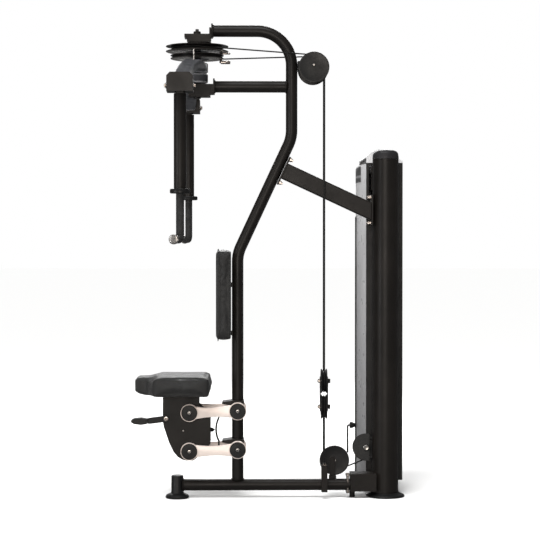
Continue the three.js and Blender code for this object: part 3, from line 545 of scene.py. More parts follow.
def frosted_shroud_painted_top_light():
    """Frosted grey polycarbonate with painted light that makes it paler towards the top, and a fine moulded
    frost.
    """
    f = Finish("smoked_plastic", (0.42, 0.42, 0.43), 0.3, 0.0, coat_weight=0.4, coat_roughness=0.12)
    # painted light: the colour ramps from grey low down to near white at the top, standing for light falling
    # from above
    height = f.range(f.upward(), 0.05, 1.50, 0.0, 1.0)
    tone = f.ramp(height, (0.0, (0.22, 0.22, 0.225)), (0.45, (0.34, 0.34, 0.35)),
                  (1.0, (0.72, 0.72, 0.73)))
    f.colour(f.mix(f.range(f.noise(5, 3), 0.35, 0.8, 0.0, 0.25), tone, (0.55, 0.55, 0.56)))
    f.roughness(f.range(f.noise(30, 3), 0.3, 0.7, 0.26, 0.38))
    return f.bump(f.noise(1400, 2), 0.12, 0.0002).material


def pale_hood():
    """Pale grey moulded hood with a soft satin surface."""
    f = Finish("hood_plastic", (0.55, 0.55, 0.56), 0.36)
    f.colour(f.ramp(f.noise(6, 3), (0.3, (0.50, 0.50, 0.51)), (0.8, (0.60, 0.60, 0.61))))
    return f.bump(f.noise(1200, 2), 0.15, 0.0003).material


def placard_print():
    """A plain dark printed panel with paler bands and no lettering."""
    f = Finish("placard_print", (0.03, 0.03, 0.032), 0.3, 0.0, coat_weight=0.6, coat_roughness=0.08)
    bands = f.maths("FRACT", f.maths("MULTIPLY", f.upward(), 14.0), 0.0)
    f.colour(f.ramp(bands, (0.0, (0.03, 0.03, 0.032)), (0.82, (0.04, 0.04, 0.042)),
                    (0.9, (0.34, 0.34, 0.35))))
    return f.bump(f.noise(800, 2), 0.05, 0.0002).material


PAINT = powder_coat()
PLASTIC = moulded_black()
CAP_GREY = moulded_black("cap_grey", (0.013, 0.0125, 0.0135), 0.42)
GUARD = textured_guard()
CASTING = cast_grey()
LINK_METAL = polished_link()
ZINC = zinc()
WARM_STEEL = zinc("warm_steel", (0.78, 0.70, 0.64))
VINYL = grained_vinyl()
THREAD = thread()
GRIP = foam_grip()
JACKET = cable_jacket()
IRON = cast_iron_plate()
CHROME = zinc("guide_chrome", (0.80, 0.80, 0.81))
FROST = frosted_shroud_painted_top_light()
HOOD = pale_hood()
PRINT = placard_print()

# ---- camera, light and floor ------------------------------------------------


def make_camera():
    """A long lens at the height of the grips, looking almost square at the near side."""
    data = bpy.data.cameras.new("camera")
    data.lens = 112.0
    data.sensor_width = 36.0
    data.clip_end = 120
    camera = new_object("camera", data)
    camera.location = Vector(place(0, -7400, 1136.5))
    aim = Vector(place(132, 0, 1004.5))
    camera.rotation_euler = (aim - camera.location).to_track_quat("-Z", "Y").to_euler()
    bpy.context.scene.camera = camera


def area_light(name, location, aim, size, power, colour=(1, 1, 1)):
    """A rectangular soft light at a place, turned to face its aim."""
    data = bpy.data.lights.new(name, "AREA")
    data.shape = "RECTANGLE"
    data.size, data.size_y = size
    data.energy = power
    data.color = colour
    light = new_object(name, data)
    light.location = location
    light.rotation_euler = (Vector(aim) - Vector(location)).to_track_quat("-Z", "Y").to_euler()


def floor_sun(strength, spread_degrees):
    """A wide sun that lights the floor evenly and isn't mirrored in glossy paint."""
    data = bpy.data.lights.new("floor_sun", "SUN")
    data.energy = strength
    data.angle = np.radians(spread_degrees)
    sun = new_object("floor_sun", data)
    sun.rotation_euler = (np.radians(30), 0, np.radians(-18))
    sun.visible_glossy = False


def pale_world(lit, seen):
    """A white surround that is seen at full brightness and lights the object more softly."""
    world = bpy.data.worlds.new("studio")
    bpy.context.scene.world = world
    world.use_nodes = True
    tree = world.node_tree
    background = tree.nodes["Background"]
    background.inputs["Color"].default_value = (1, 1, 1, 1)
    direct = tree.nodes.new("ShaderNodeLightPath").outputs["Is Camera Ray"]
    strength = tree.nodes.new("ShaderNodeMapRange")
    strength.inputs["To Min"].default_value = lit
    strength.inputs["To Max"].default_value = seen
    tree.links.new(direct, strength.inputs["Value"])
    tree.links.new(strength.outputs["Result"], background.inputs["Strength"])


def make_studio():
    """The pale surround, a wide sun, four soft lights and a plain pale floor."""
    pale_world(0.12, 1.0)
    floor_sun(3.6, 42)
    area_light("front_box", (-0.6, -6.6, 1.5), (0, 0, 1.0), (2.2, 3.0), 95, (1.0, 0.92, 0.84))
    area_light("left_strip", (-4.4, -3.4, 1.7), (0.1, 0, 1.2), (0.4, 3.2), 60)
    area_light("top_box", (-0.4, -1.4, 5.2), (0, 0, 0.8), (3.0, 2.0), 70)
    area_light("back_box", (-0.2, 4.4, 3.3), (0, 0, 0.6), (3.4, 1.6), 150)
    floor_finish = Finish("floor", (0.93, 0.93, 0.925), 0.8, specular_ior_level=0.1)
    floor_finish.bump(floor_finish.noise(60, 2), 0.02, 0.001)
    corners = np.array([[-60, -60, -0.001], [60, -60, -0.001], [60, 60, -0.001], [-60, 60, -0.001]])
    floor = mesh_piece("floor", corners, [[0, 1, 2, 3]], floor_finish.material, smooth=False)
    floor.visible_glossy = False
    bpy.context.scene.view_settings.view_transform = "Standard"


make_camera()
make_studio()

# ---- sizes shared by several pieces, in millimetres -------------------------

TUBE_R = 25.4
AXIS_X = -188
RUN_X, RUN_Y, PATH_R = 370, 48, 48
CAM_CABLE_R = 108
REDIRECT = (322, 1900)
FLOAT_Z = (515, 401)
BOTTOM = (418, 160)
TOWER_BASE = (559, 216)
HEAD_Z = 1375
POST_X, POST_Y, POST_R, POST_TOP = 644, (30, 600), 57.5, 1495
STACK_X, STACK_Y, PIN_Z = 607, 315, 285
LINK_X = (-221.5, -10.5)
LINK_Z = (389.2, 220.5)
LINK_DROP = 6.8
HANDLE = (-243, 580, 1762)

# ---- frame tubes ------------------------------------------------------------


def upright_tube():
    """The bent upright: a round tube through two knees and a wide bend to the top tube."""
    route = rounded_route([[-10.6, 0, 79, 0], [-10.6, 0, 1076, 150], [227, 0, 1586, 150],
                           [227, 0, 2054, 150], [-119.5, 0, 2054, 0]])
    dress(tube("upright_tube", route, TUBE_R, PAINT, 40), "frame", "frame_paint", "upright")
    flange = block("top_flange", -126, -119, -32, 32, 2024, 2084, PAINT)
    dress(flange, "frame", "frame_paint")
    weld_ring("top_flange_weld", [-118, 0, 2054], "x")
    weld_ring("support_weld", [-110, 0, 1810], "x")
    for name, z in (("low", 727), ("high", 940)):
        tab = block(f"pad_tab_{name}", -39.6, -31, -14, 14, z - 10, z + 10, PAINT)
        dress(tab, "frame", "frame_paint")


def weld_ring(name, centre, axis, radius=TUBE_R, size=3.0, steps=96):
    """A weld bead: a ring whose thickness ripples along its length like stacked beads."""
    around = np.linspace(0, 2 * np.pi, steps, endpoint=False)
    section = np.linspace(0, 2 * np.pi, 8, endpoint=False)
    bead = size * (1 + 0.18 * np.abs(np.sin(around * 22)))[:, None]
    reach = radius + bead * np.cos(section)
    local = np.stack([reach * np.cos(around)[:, None], reach * np.sin(around)[:, None],
                      bead * np.sin(section) + 0 * around[:, None]], axis=-1) / 1000
    rings = local @ AXES[axis] + place(*centre)
    vertices = rings.reshape(-1, 3)
    rows = np.arange(steps)[:, None]
    columns = np.arange(8)[None, :]
    after_row, after_column = (rows + 1) % steps, (columns + 1) % 8
    faces = np.stack([rows * 8 + columns, rows * 8 + after_column, after_row * 8 + after_column,
                      after_row * 8 + columns], axis=-1).reshape(-1, 4)
    piece = mesh_piece(name, vertices, faces, PAINT)
    outward(piece)
    return dress(piece, "frame", "frame_paint")


def frame_tubes():
    """The arm support, the base rail with its weld beads, and the front foot."""
    support = tube("arm_support", [[-112, 0, 1810], [203, 0, 1810]], TUBE_R, PAINT, 40)
    dress(support, "frame", "frame_paint", "arm_support_tube")
    dress(block("support_flange", -118, -111, -34, 34, 1776, 1844, PAINT), "frame", "frame_paint")
    weld_ring("support_root_weld", [202, 0, 1810], "x")
    base = tube("base_rail", [[-251, 0, 57], [486, 0, 57]], TUBE_R, PAINT, 40)
    dress(base, "frame", "frame_paint", "base_tube")
    weld_ring("base_front_weld", [-250, 0, 57], "x")
    weld_ring("upright_foot_weld", [-10.6, 0, 83], "z")
    foot = [[0, 0], [49, 0], [52, 3], [52, 7], [48, 13], [38, 18], [29, 22], [26.6, 27], [26.5, 95],
            [25, 98.5], [22, 100.2], [0, 101]]
    dress(turned("front_foot_stub", foot, [-277, 0, 0], "z", PLASTIC), "frame", "black_plastic", "front_foot")


# ---- tower posts, caps and feet ---------------------------------------------


def tower_posts():
    """Two round posts, each with a domed cap and a disc foot."""
    dome = [[0, -0.4], [57.9, -0.4], [58.2, 2], [57.4, 12], [55.8, 22], [52.5, 29], [46, 34.5],
            [35, 38.5], [20, 41.2], [0, 42]]
    cap = [[radius, POST_TOP + rise] for radius, rise in dome]
    plain = [[0, 19], [POST_R, 19], [POST_R, 300], [POST_R, 900], [POST_R, POST_TOP - 2], [0, POST_TOP - 2]]
    foot = [[0, 0], [82, 0], [85, 2.5], [85, 5], [82, 9], [70, 13], [62, 18], [0, 18.2]]
    for name, y in zip(("near", "far"), POST_Y):
        centre = [POST_X, y, 0]
        if name == "near":
            post = post_with_slots(y)
        else:
            post = turned("far_post_skin", plain, centre, "z", PAINT, 72)
        dress(post, "frame", "frame_paint", f"{name}_post")
        dome_piece = turned(f"{name}_post_dome", cap, centre, "z", CAP_GREY, 72, 40)
        dress(dome_piece, "frame", "black_plastic")
        disc = turned(f"{name}_post_disc", foot, centre, "z", PLASTIC, 72)
        dress(disc, "frame", "black_plastic", f"{name}_post_foot")


def post_with_slots(y):
    """The near post: a round tube wall cut by a low slot and a high slot for its pulleys."""
    outer = turned("near_post_skin", [[0, 19], [POST_R, 19], [POST_R, POST_TOP - 2], [0, POST_TOP - 2]],
                   [POST_X, y, 0], "z", PAINT, 72)
    bore = turned("post_bore", [[0, 10], [POST_R - 3, 10], [POST_R - 3, POST_TOP - 4], [0, POST_TOP - 4]],
                  [POST_X, y, 0], "z", PAINT, 72)
    low = block("low_slot", 575, 622, 29, 67, 150, 300, PAINT)
    high = block("high_slot", 575, 640, 30, 120, HEAD_Z - 62, HEAD_Z + 58, PAINT)
    cut_from(outer, bore, low, high)
    return sharp_by_angle(outer, 30)


# ---- pulleys ----------------------------------------------------------------


def pulley(node, centre, axis):
    """A moulded sheave: rim flanges, a deep cable groove, a dished web and a raised hub."""
    profile = [[6.7, -13.4], [15, -13.4], [16, -12.6], [16, -8], [19, -6.5], [40, -6.5], [43, -8.5],
               [44.5, -13.2], [52.6, -13.4], [54, -12.2], [54, -10.8], [46, -4.6], [43.9, -3],
               [43.4, 0], [43.9, 3], [46, 4.6], [54, 10.8], [54, 12.2], [52.6, 13.4], [44.5, 13.2],
               [43, 8.5], [40, 6.5], [19, 6.5], [16, 8], [16, 12.6], [15, 13.4], [6.7, 13.4]]
    sheave = turned_ring(f"{node}_sheave", profile, centre, axis, PLASTIC, 64, 30)
    dress(sheave, node, "black_plastic", node)
    for side in (-1, 1):
        race = [[6.9, side * 11], [12.5, side * 11], [12.5, side * 14.0], [6.9, side * 14.0]]
        ring = turned_ring(f"{node}_bearing_{'ab'[side > 0]}", race, centre, axis, ZINC, 40, 30)
        dress(ring, node, "black_plastic")


def all_pulleys():
    """The eight sheaves, each with its centre and the axis it turns about."""
    pulley("near_redirect_pulley", [REDIRECT[0], -RUN_Y, REDIRECT[1]], "y")
    pulley("far_redirect_pulley", [REDIRECT[0], RUN_Y, REDIRECT[1]], "y")
    pulley("float_upper_pulley", [RUN_X, 0, FLOAT_Z[0]], "x")
    pulley("float_lower_pulley", [RUN_X, 0, FLOAT_Z[1]], "x")
    pulley("bottom_pulley", [BOTTOM[0], RUN_Y, BOTTOM[1]], "y")
    pulley("tower_base_pulley", [TOWER_BASE[0], RUN_Y, TOWER_BASE[1]], "y")
    pulley("post_head_pulley", [STACK_X, RUN_Y + PATH_R, HEAD_Z], "x")
    pulley("stack_head_pulley", [STACK_X, STACK_Y - PATH_R, HEAD_Z], "x")


def pulley_covers():
    """Round moulded covers with a rolled rim, their axle ends, and the redirect block."""
    rim = [[0, 0], [62, 0], [66, 1], [67, 3], [66.5, 5], [63, 5.6], [59, 4.6], [20, 4.0], [9, 4.4],
           [0, 4.4]]
    disc_x, disc_z = REDIRECT[0] + 1, REDIRECT[1] - 9
    body = block("redirect_block", 252.8, 336, -24, 24, 1878, 1922, PLASTIC, 3)
    dress(body, "frame", "black_plastic", "redirect_bracket")
    axle_ends = [[REDIRECT[0], -69, REDIRECT[1]], [REDIRECT[0], 69, REDIRECT[1]]]
    axle = tube("redirect_axle", axle_ends, 6, ZINC, 24)
    dress(axle, "frame", "black_plastic")
    for name, side in (("near", -1), ("far", 1)):
        profile = [[r, side * h] for r, h in rim]
        cover = turned(f"{name}_redirect_cover", profile, [disc_x, side * 66, disc_z], "y", PLASTIC, 80, 35)
        dress(cover, "frame", "black_plastic")
        head = screw(f"{name}_cover_screw", [REDIRECT[0], side * 70, REDIRECT[1]], "y", 5.5, ZINC, side < 0)
        dress(head, "frame", "black_plastic")
    bottom = [[r * 0.985, 4.5 - h] for r, h in rim]
    dress(turned("bottom_cover", bottom, [BOTTOM[0], 28.5, BOTTOM[1]], "y", PLASTIC, 80, 35), "frame",
          "black_plastic", "bottom_bracket")
    arm_x = 409
    turn = np.linspace(0, np.pi, 17)
    outline = np.r_[[[arm_x + 13, 90]], np.c_[arm_x + 13 * np.cos(turn), 165 + 13 * np.sin(turn)],
                    [[arm_x - 13, 90]]]
    dress(plate("bottom_arm", outline, 23.6, 28.2, "xz", PAINT), "frame", "frame_paint")
    dress(block("bottom_arm_foot", arm_x - 16, arm_x + 16, 1, 29, 78, 95, PAINT), "frame", "frame_paint")
    axle = tube("bottom_axle", [[BOTTOM[0], 24, BOTTOM[1]], [BOTTOM[0], 65, BOTTOM[1]]], 6, ZINC, 24)
    dress(axle, "frame", "black_plastic")


def float_block():
    """The floating block: two long cheek plates, two axle bolts, black heads and bright nuts."""
    for name, x0, x1 in (("left", RUN_X - 18, RUN_X - 14.5), ("right", RUN_X + 14.5, RUN_X + 18)):
        turn = np.linspace(0, np.pi, 21)
        top = np.c_[20 * np.cos(turn), FLOAT_Z[0] + 20 * np.sin(turn)]
        bottom = np.c_[-20 * np.cos(turn), FLOAT_Z[1] - 20 * np.sin(turn)]
        cheek = plate(f"float_cheek_{name}", np.r_[top, bottom], x0, x1, "yz", PAINT, 0.6)
        dress(cheek, "pulley_block", "frame_paint", *(["float_frame"] if name == "left" else []))
    for name, z in zip(("upper", "lower"), FLOAT_Z):
        shank = tube(f"float_{name}_axle", [[RUN_X - 28.5, 0, z], [RUN_X + 20, 0, z]], 5.8, ZINC, 24)
        dress(shank, "pulley_block", "black_plastic")
        dress(turned(f"float_{name}_head", [[0, 18], [10, 18], [10, 26], [9, 28], [6, 28], [5, 25], [0, 25]],
                     [RUN_X, 0, z], "x", PLASTIC, 32), "pulley_block", "black_plastic")
        dress(bolt(f"float_{name}_nut", [RUN_X - 18.2, 0, z], "x", 8.4, 8, WARM_STEEL, True),
              "pulley_block", "black_plastic")


upright_tube()
frame_tubes()
tower_posts()
all_pulleys()
pulley_covers()
float_block()

# ---- brace, tower frame and small frame parts -------------------------------

BRACE_SLOPE = np.arctan2(1586 - 1076, 227 + 10.6)
BRACE_ALONG = np.array([np.sin(BRACE_SLOPE), -np.cos(BRACE_SLOPE)])
BRACE_ACROSS = np.array([np.cos(BRACE_SLOPE), np.sin(BRACE_SLOPE)])
BRACE_FROM = np.array([166, 1454])


def brace_bolt(name, s, t, y, material):
    """A bolt standing along the brace: a hexagon head turned to the brace's slope."""
    angle = np.arange(6) * np.pi / 3
    levels = np.array([[9.5, 0], [9.5, 1.5], [8, 1.5], [8, 7], [7, 8.5], [5, 8.5], [5, 14], [4.4, 15]])
    foot = BRACE_FROM + s * BRACE_ALONG + t * BRACE_ACROSS
    rings = np.array([np.column_stack([
        foot[0] + h * BRACE_ALONG[0] + r * np.cos(angle) * BRACE_ACROSS[0],
        y + r * np.sin(angle),
        foot[1] + h * BRACE_ALONG[1] + r * np.cos(angle) * BRACE_ACROSS[1]]) for r, h in levels])
    piece = closed_loft(name, rings / 1000 - SHIFT, material)
    return dress(sharp_by_angle(piece, 20), "frame", "bright_link")


def brace_parts():
    """The slanted box tube from the upright to the tower, with a bolted plate at each end."""
    end_x = 580

    def at(s, t):
        """A point s along the brace and t across it."""
        return BRACE_FROM + s * BRACE_ALONG + t * BRACE_ACROSS

    def at_end(t):
        """The point t across the brace where it meets the lower plate."""
        return at((end_x - BRACE_FROM[0] - t * BRACE_ACROSS[0]) / BRACE_ALONG[0], t)

    tube_outline = [at(30, -36), at_end(-36), at_end(36), at(30, 36)]
    dress(plate("brace_tube", tube_outline, -25, 25, "xz", PAINT, 6, 5), "frame", "frame_paint", "brace")
    upper = [at(25.7, -66), at(33.7, -66), at(33.7, 66), at(25.7, 66)]
    dress(plate("brace_upper_plate", upper, -28, 28, "xz", PAINT, 1.5), "frame", "frame_paint")
    lower = block("brace_lower_plate", 576, 586.2, -22, 62, 1200, 1336, PAINT, 2)
    dress(lower, "frame", "frame_paint")
    for i, (t, y) in enumerate((t, y) for t in (-55, 55) for y in (-16, 16)):
        brace_bolt(f"brace_upper_bolt_{i}", 33.7, t, y, WARM_STEEL)
    for i, (z, y) in enumerate((z, y) for z in (1212, 1325) for y in (-8, 46)):
        head = bolt(f"brace_lower_bolt_{i}", [576, y, z], "x", 8, 13, WARM_STEEL, True)
        dress(head, "frame", "bright_link")


def base_hardware():
    """The base block, the two tower beams, the cable anchor and their bolts."""
    refined("base_block", "frame", "frame_paint", PAINT, 2.5, 3)
    refined("bottom_beam", "frame", "frame_paint", PAINT, 2)
    refined("top_beam", "frame", "frame_paint", PAINT, 1.5)
    refined("cable_anchor", "frame", "frame_paint", PAINT, 2.5, 3)
    for i, y in enumerate((-17, 17)):
        dress(bolt(f"base_bolt_top_{i}", [475, y, 97.5], "z", 8, 8, WARM_STEEL), "frame", "bright_link")
        dress(bolt(f"base_bolt_low_{i}", [475, y, 29], "z", 8, 8, WARM_STEEL, True), "frame", "bright_link")
        shank = tube(f"base_bolt_shank_{i}", [[475, y, 24], [475, y, 101]], 5, WARM_STEEL, 20)
        dress(shank, "frame", "bright_link")
    dress(bolt("anchor_nut", [RUN_X, -RUN_Y, 149], "z", 9, 8.5, WARM_STEEL), "frame", "bright_link")


def pulley_guard():
    """The tower foot's half round guard: two textured cheeks and their axle."""
    turn = np.linspace(np.pi / 2, 3 * np.pi / 2, 41)
    x, z = TOWER_BASE
    arc = np.c_[x + 59 * np.cos(turn), z + 59 * np.sin(turn)]
    outline = np.r_[[[574, z + 59]], arc, [[574, z - 59]]]
    for name, y0, y1 in (("near", 29.2, 32.8), ("far", 63.2, 66.8)):
        cheek = plate(f"guard_cheek_{name}", outline, y0, y1, "xz", GUARD, 1.2, 3)
        dress(cheek, "frame", "black_plastic", *(["tower_pulley_guard"] if name == "near" else []))
    axle = tube("guard_axle", [[x, 26, z], [x, 66, z]], 6, ZINC, 24)
    dress(axle, "frame", "black_plastic")
    head = [[0, -2.4], [4.5, -2.4], [5, -4.6], [9.5, -5.4], [11.6, -4], [12, 0], [0, 0]]
    dress(turned("guard_axle_head", head, [x, 29, z], "y", ZINC, 40, 30), "frame", "black_plastic")


def guide_rods():
    """The two chromed rods that the weights slide on."""
    for name, y in (("near", 190), ("far", 440)):
        rod = tube(f"{name}_rod", [[633, y, 120], [633, y, 1435.5]], 7.9, CHROME, 32)
        dress(rod, "frame", "guide_chrome", f"{name}_guide_rod")


# ---- shroud -----------------------------------------------------------------

SHROUD_Y = (92, 538)
SHROUD_SPLIT = 563.5
SHROUD_APEX = 534
SHROUD_WALL = 4


def shroud_front_line(z, margin):
    """How far back the shroud's nose stands at a height: straight, then a rounded shoulder.

    Above 1430 the nose follows an ellipse 106 deep and 113 high.
    """
    rise = np.clip((z - 1430) / ((106 - margin) * 1.07), 0, 0.985)
    return SHROUD_APEX + 106 - (106 - margin) * np.sqrt(1 - rise ** 2)


def shroud_plan(z, margin, low_t, high_t, count=33):
    """The front wall seen from above: a parabola whose nose is cut back by the shoulder."""
    t = np.linspace(low_t, high_t, count)
    half = (SHROUD_Y[1] - SHROUD_Y[0]) / 2 - margin
    y = (SHROUD_Y[0] + SHROUD_Y[1]) / 2 + t * half
    x = SHROUD_APEX + margin + (563 - SHROUD_APEX) * t ** 2
    return np.minimum(np.maximum(x, shroud_front_line(z, margin)), SHROUD_SPLIT - 0.7), y


def wall_ring(z, low_t, high_t):
    """A closed ring at one height: the outer face one way and the inner face back."""
    outer = np.column_stack(shroud_plan(z, 0, low_t, high_t))
    inner = np.column_stack(shroud_plan(z, SHROUD_WALL, low_t, high_t))
    inner[:, 0] = np.maximum(inner[:, 0], outer[:, 0] + 0.3)
    ring = np.vstack([outer, inner[::-1]])
    return np.column_stack([ring, np.full(len(ring), z)])


def wall_part(name, levels, low_t, high_t):
    """One part of the front wall between two heights and two places across."""
    rings = np.array([wall_ring(z, low_t, high_t) for z in levels]) / 1000 - SHIFT
    return dress(sharp_by_angle(closed_loft(name, rings, FROST), 40), "frame", "smoked_plastic")


def front_wall():
    """The bowed front wall beside its slot and above it, its placard, and the slot's edge trim."""
    slot_t = 12 / 223
    below = np.linspace(62.3, 1237, 14)
    above = np.r_[np.linspace(1237, 1425, 5), np.linspace(1430, 1476, 16)]
    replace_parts(wall_part("front_wall_near", below, -1, -slot_t), "front_shroud")
    wall_part("front_wall_far", below, slot_t, 1)
    wall_part("front_wall_top", above, -1, 1)
    placard(np.linspace(1398, 1468, 24), 0.62)
    trim_path = [[531.6, STACK_Y - 14, 66], [531.6, STACK_Y - 14, 1237], [531.6, STACK_Y - 8, 1243],
                 [531.6, STACK_Y + 8, 1243], [531.6, STACK_Y + 14, 1237], [531.6, STACK_Y + 14, 66]]
    trim = tube("slot_trim", trim_path, 2.2, PLASTIC, 12)
    dress(trim, "frame", "black_plastic")


def placard(levels, reach):
    """A dark panel without lettering, lying 1.2 mm proud of the wall's shoulder."""
    rings = []
    for z in levels:
        x, y = shroud_plan(z, 0, -reach, reach)
        front, back = np.column_stack([x - 1.2, y]), np.column_stack([x - 0.1, y])
        ring = np.vstack([front, back[::-1]])
        rings.append(np.column_stack([ring, np.full(len(ring), z)]))
    panel = closed_loft("placard", np.array(rings) / 1000 - SHIFT, PRINT)
    dress(sharp_by_angle(panel, 40), "frame", "black_plastic")


def tower_shrouds():
    """The front wall, the rear shroud and the pale hood on top."""
    front_wall()
    refined("rear_shroud", "frame", "black_plastic", PLASTIC, 1.2)
    refined("shroud_hood", "frame", "hood_plastic", HOOD, 1.5, 3)


# ---- weights ----------------------------------------------------------------


def weights():
    """The plates, the selector pin's knob and shank, and its strap."""
    refined("resting_plates", "frame", "weight_steel", IRON, 1.0)
    refined("lifted_plates", "weight_carriage", "weight_steel", IRON, 1.0)
    refined("head_plate", "weight_carriage", "weight_steel", IRON, 2.0, 3)
    knob = [[0, -27], [11, -27], [15, -24], [15.6, -20], [13, -12], [9, -4], [8, 0], [0, 0]]
    dress(turned("selector_knob", knob, [531, STACK_Y, PIN_Z], "x", PLASTIC, 40, 35), "selector_pin",
          "black_plastic", "selector_pin")
    shank = tube("selector_shank", [[526, STACK_Y, PIN_Z], [600, STACK_Y, PIN_Z], [606, STACK_Y, PIN_Z]],
                 [4.5, 4.5, 3.0], CHROME, 24)
    dress(shank, "selector_pin", "guide_chrome")
    route = rounded_route([[503.5, STACK_Y, PIN_Z, 0], [495, STACK_Y, PIN_Z, 7], [495, STACK_Y, 158, 0]])
    dress(tube("selector_strap", route, 4.0, JACKET, 16), "selector_pin", "cable_jacket", "pin_strap")


# ---- cables -----------------------------------------------------------------

CABLE_R = 3
REDIRECT_TOP = REDIRECT[1] + PATH_R


def straight(a, b, count=30):
    """Points in even steps between two ends."""
    t = np.linspace(0, 1, count)[:, None]
    return (1 - t) * np.array(a, float) + t * np.array(b, float)


def blended_run(name, start, end):
    """A straight cable between two points, its place baked into its mesh and tied to no body."""
    run = tube(name, straight(start, end), CABLE_R, JACKET, 14)
    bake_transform(run)


def arm_cables():
    """Two runs from the cams over the redirect pulleys and down, and the float pulley's wrap."""
    cam = {"near": (-1, 1977), "far": (1, 1939.5)}
    low = FLOAT_Z[0]
    for name, (side, height) in cam.items():
        sweep = np.radians(90 + np.linspace(60, 0, 25))
        wrap = np.c_[AXIS_X + CAM_CABLE_R * np.cos(sweep), side * CAM_CABLE_R * np.sin(sweep),
                     np.full(25, height)]
        bend = rounded_route([[REDIRECT[0] - 30, side * RUN_Y, REDIRECT_TOP, 0],
                              [RUN_X, side * RUN_Y, REDIRECT_TOP, PATH_R], [RUN_X, side * RUN_Y, 1700, 0]])
        fixed = tube(f"{name}_arm_cable", np.vstack([wrap, bend]), CABLE_R, JACKET, 14)
        dress(fixed, "frame", "cable_jacket", *(["arm_cable"] if name == "near" else []))
        y = side * RUN_Y
        blended_run(f"{name}_arm_cable_run", [RUN_X, y, 1700.2], [RUN_X, y, low])
    turn = np.linspace(0, np.pi, 33)
    under = np.c_[np.full(33, RUN_X), -RUN_Y * np.cos(turn), low - PATH_R * np.sin(turn)]
    dress(tube("float_upper_wrap", under, CABLE_R, JACKET, 14), "pulley_block", "cable_jacket")


def stack_cables():
    """From the anchor over the float pulley, under two low pulleys, up the post and to the weights."""
    high = FLOAT_Z[1]
    turn = np.linspace(0, np.pi, 33)
    over = np.c_[np.full(33, RUN_X), -RUN_Y * np.cos(turn), high + PATH_R * np.sin(turn)]
    dress(tube("float_lower_wrap", over, CABLE_R, JACKET, 14), "pulley_block", "cable_jacket", "stack_cable")
    ends = {"near": (-RUN_Y, 158.5), "far": (RUN_Y, 230)}
    for name, (y, z) in ends.items():
        blended_run(f"{name}_float_run", [RUN_X, y, z], [RUN_X, y, high])
    slope = np.arctan2(TOWER_BASE[1] - BOTTOM[1], TOWER_BASE[0] - BOTTOM[0])
    down = PATH_R / np.cos(slope)
    corner_low = BOTTOM[1] - down + (RUN_X - BOTTOM[0]) * np.tan(slope)
    corner_post = TOWER_BASE[1] - down + (STACK_X - TOWER_BASE[0]) * np.tan(slope)
    top = HEAD_Z + PATH_R
    route = rounded_route([[RUN_X, RUN_Y, 230.2, 0], [RUN_X, RUN_Y, corner_low, PATH_R],
                           [STACK_X, RUN_Y, corner_post, PATH_R], [STACK_X, RUN_Y, top, PATH_R],
                           [STACK_X, STACK_Y, top, PATH_R], [STACK_X, STACK_Y, HEAD_Z - 1, 0]])
    dress(tube("tower_cable", route, CABLE_R, JACKET, 14), "frame", "cable_jacket")
    blended_run("stack_drop", [STACK_X, STACK_Y, HEAD_Z], [STACK_X, STACK_Y, 542])


brace_parts()
base_hardware()
pulley_guard()
guide_rods()
tower_shrouds()
weights()
arm_cables()
stack_cables()

# ---- arms, cams and handles -------------------------------------------------


def curve_through(stations, per_span=8):
    """A Catmull-Rom curve: each span leaves and arrives along its neighbours' chord."""
    rows = np.array(stations, float)
    padded = np.vstack([2 * rows[0] - rows[1], rows, 2 * rows[-1] - rows[-2]])
    a, b, c, d = padded[:-3, None], padded[1:-2, None], padded[2:-1, None], padded[3:, None]
    t = np.linspace(0, 1, per_span, endpoint=False)[None, :, None]
    curve = 0.5 * (2 * b + (c - a) * t + (2 * a - 5 * b + 4 * c - d) * t ** 2
                   + (3 * b - a - 3 * c + d) * t ** 3)
    return np.vstack([curve.reshape(-1, rows.shape[1]), rows[-1:]])


def arm_casting(name, side, hub_low, hub_high):
    """A tapering casting: superellipse sections, waisted by a shallow channel along each face."""
    mid = (hub_low + hub_high) / 2
    stations = [[-188, 34, mid, 43, 19.5], [-192, 110, mid + 2, 39, 19.5], [-204, 220, mid - 4, 35, 21.5],
                [-219, 330, mid * 0.7 + 1790 * 0.3, 33, 23.5],
                [-233, 430, mid * 0.35 + 1790 * 0.65, 33, 25.5], [-243, 525.5, 1776, 35, 29]]
    spine = curve_through(stations)
    angle = np.linspace(0, 2 * np.pi, 64, endpoint=False)
    cosine, sine = np.cos(angle), np.sin(angle)
    across = np.sign(cosine) * np.abs(cosine) ** 0.42
    height = np.sign(sine) * np.abs(sine) ** 0.42
    middle = np.sin(np.linspace(0, np.pi, len(spine)))[:, None] ** 0.6
    channel = 1 - 0.10 * np.exp(-(cosine / 0.42) ** 2) * middle
    x = spine[:, :1] + spine[:, 3:4] * across
    y = side * spine[:, 1:2] + 0 * x
    z = spine[:, 2:3] + spine[:, 4:5] * height * channel
    piece = closed_loft(f"{name}_casting", np.stack([x, y, z], axis=-1) / 1000 - SHIFT, CASTING)
    axis_foot = [AXIS_X, 0, 0]
    drill = [[0, 1750], [18, 1750], [18, 1955], [0, 1955]]
    bore = turned(f"{name}_bore", drill, axis_foot, "z", CASTING, 40)
    cut_from(piece, bore)
    dress(sharp_by_angle(piece, 45), name, "cast_arm", name)
    section = [[17.2, hub_low], [44, hub_low], [47.5, hub_low + 3], [47.5, hub_high - 3], [44, hub_high],
               [17.2, hub_high]]
    dress(turned_ring(f"{name}_hub", section, axis_foot, "z", CASTING), name, "cast_arm")


def lock_pin(name, y, low, high):
    """The plain round pin that ties an arm to its cam."""
    shank = [[0, low], [3.9, low], [3.9, high - 1], [3, high], [0, high]]
    dress(turned(f"{name}_pin_shank", shank, [-199, y, 0], "z", ZINC, 24), name, "bright_link")


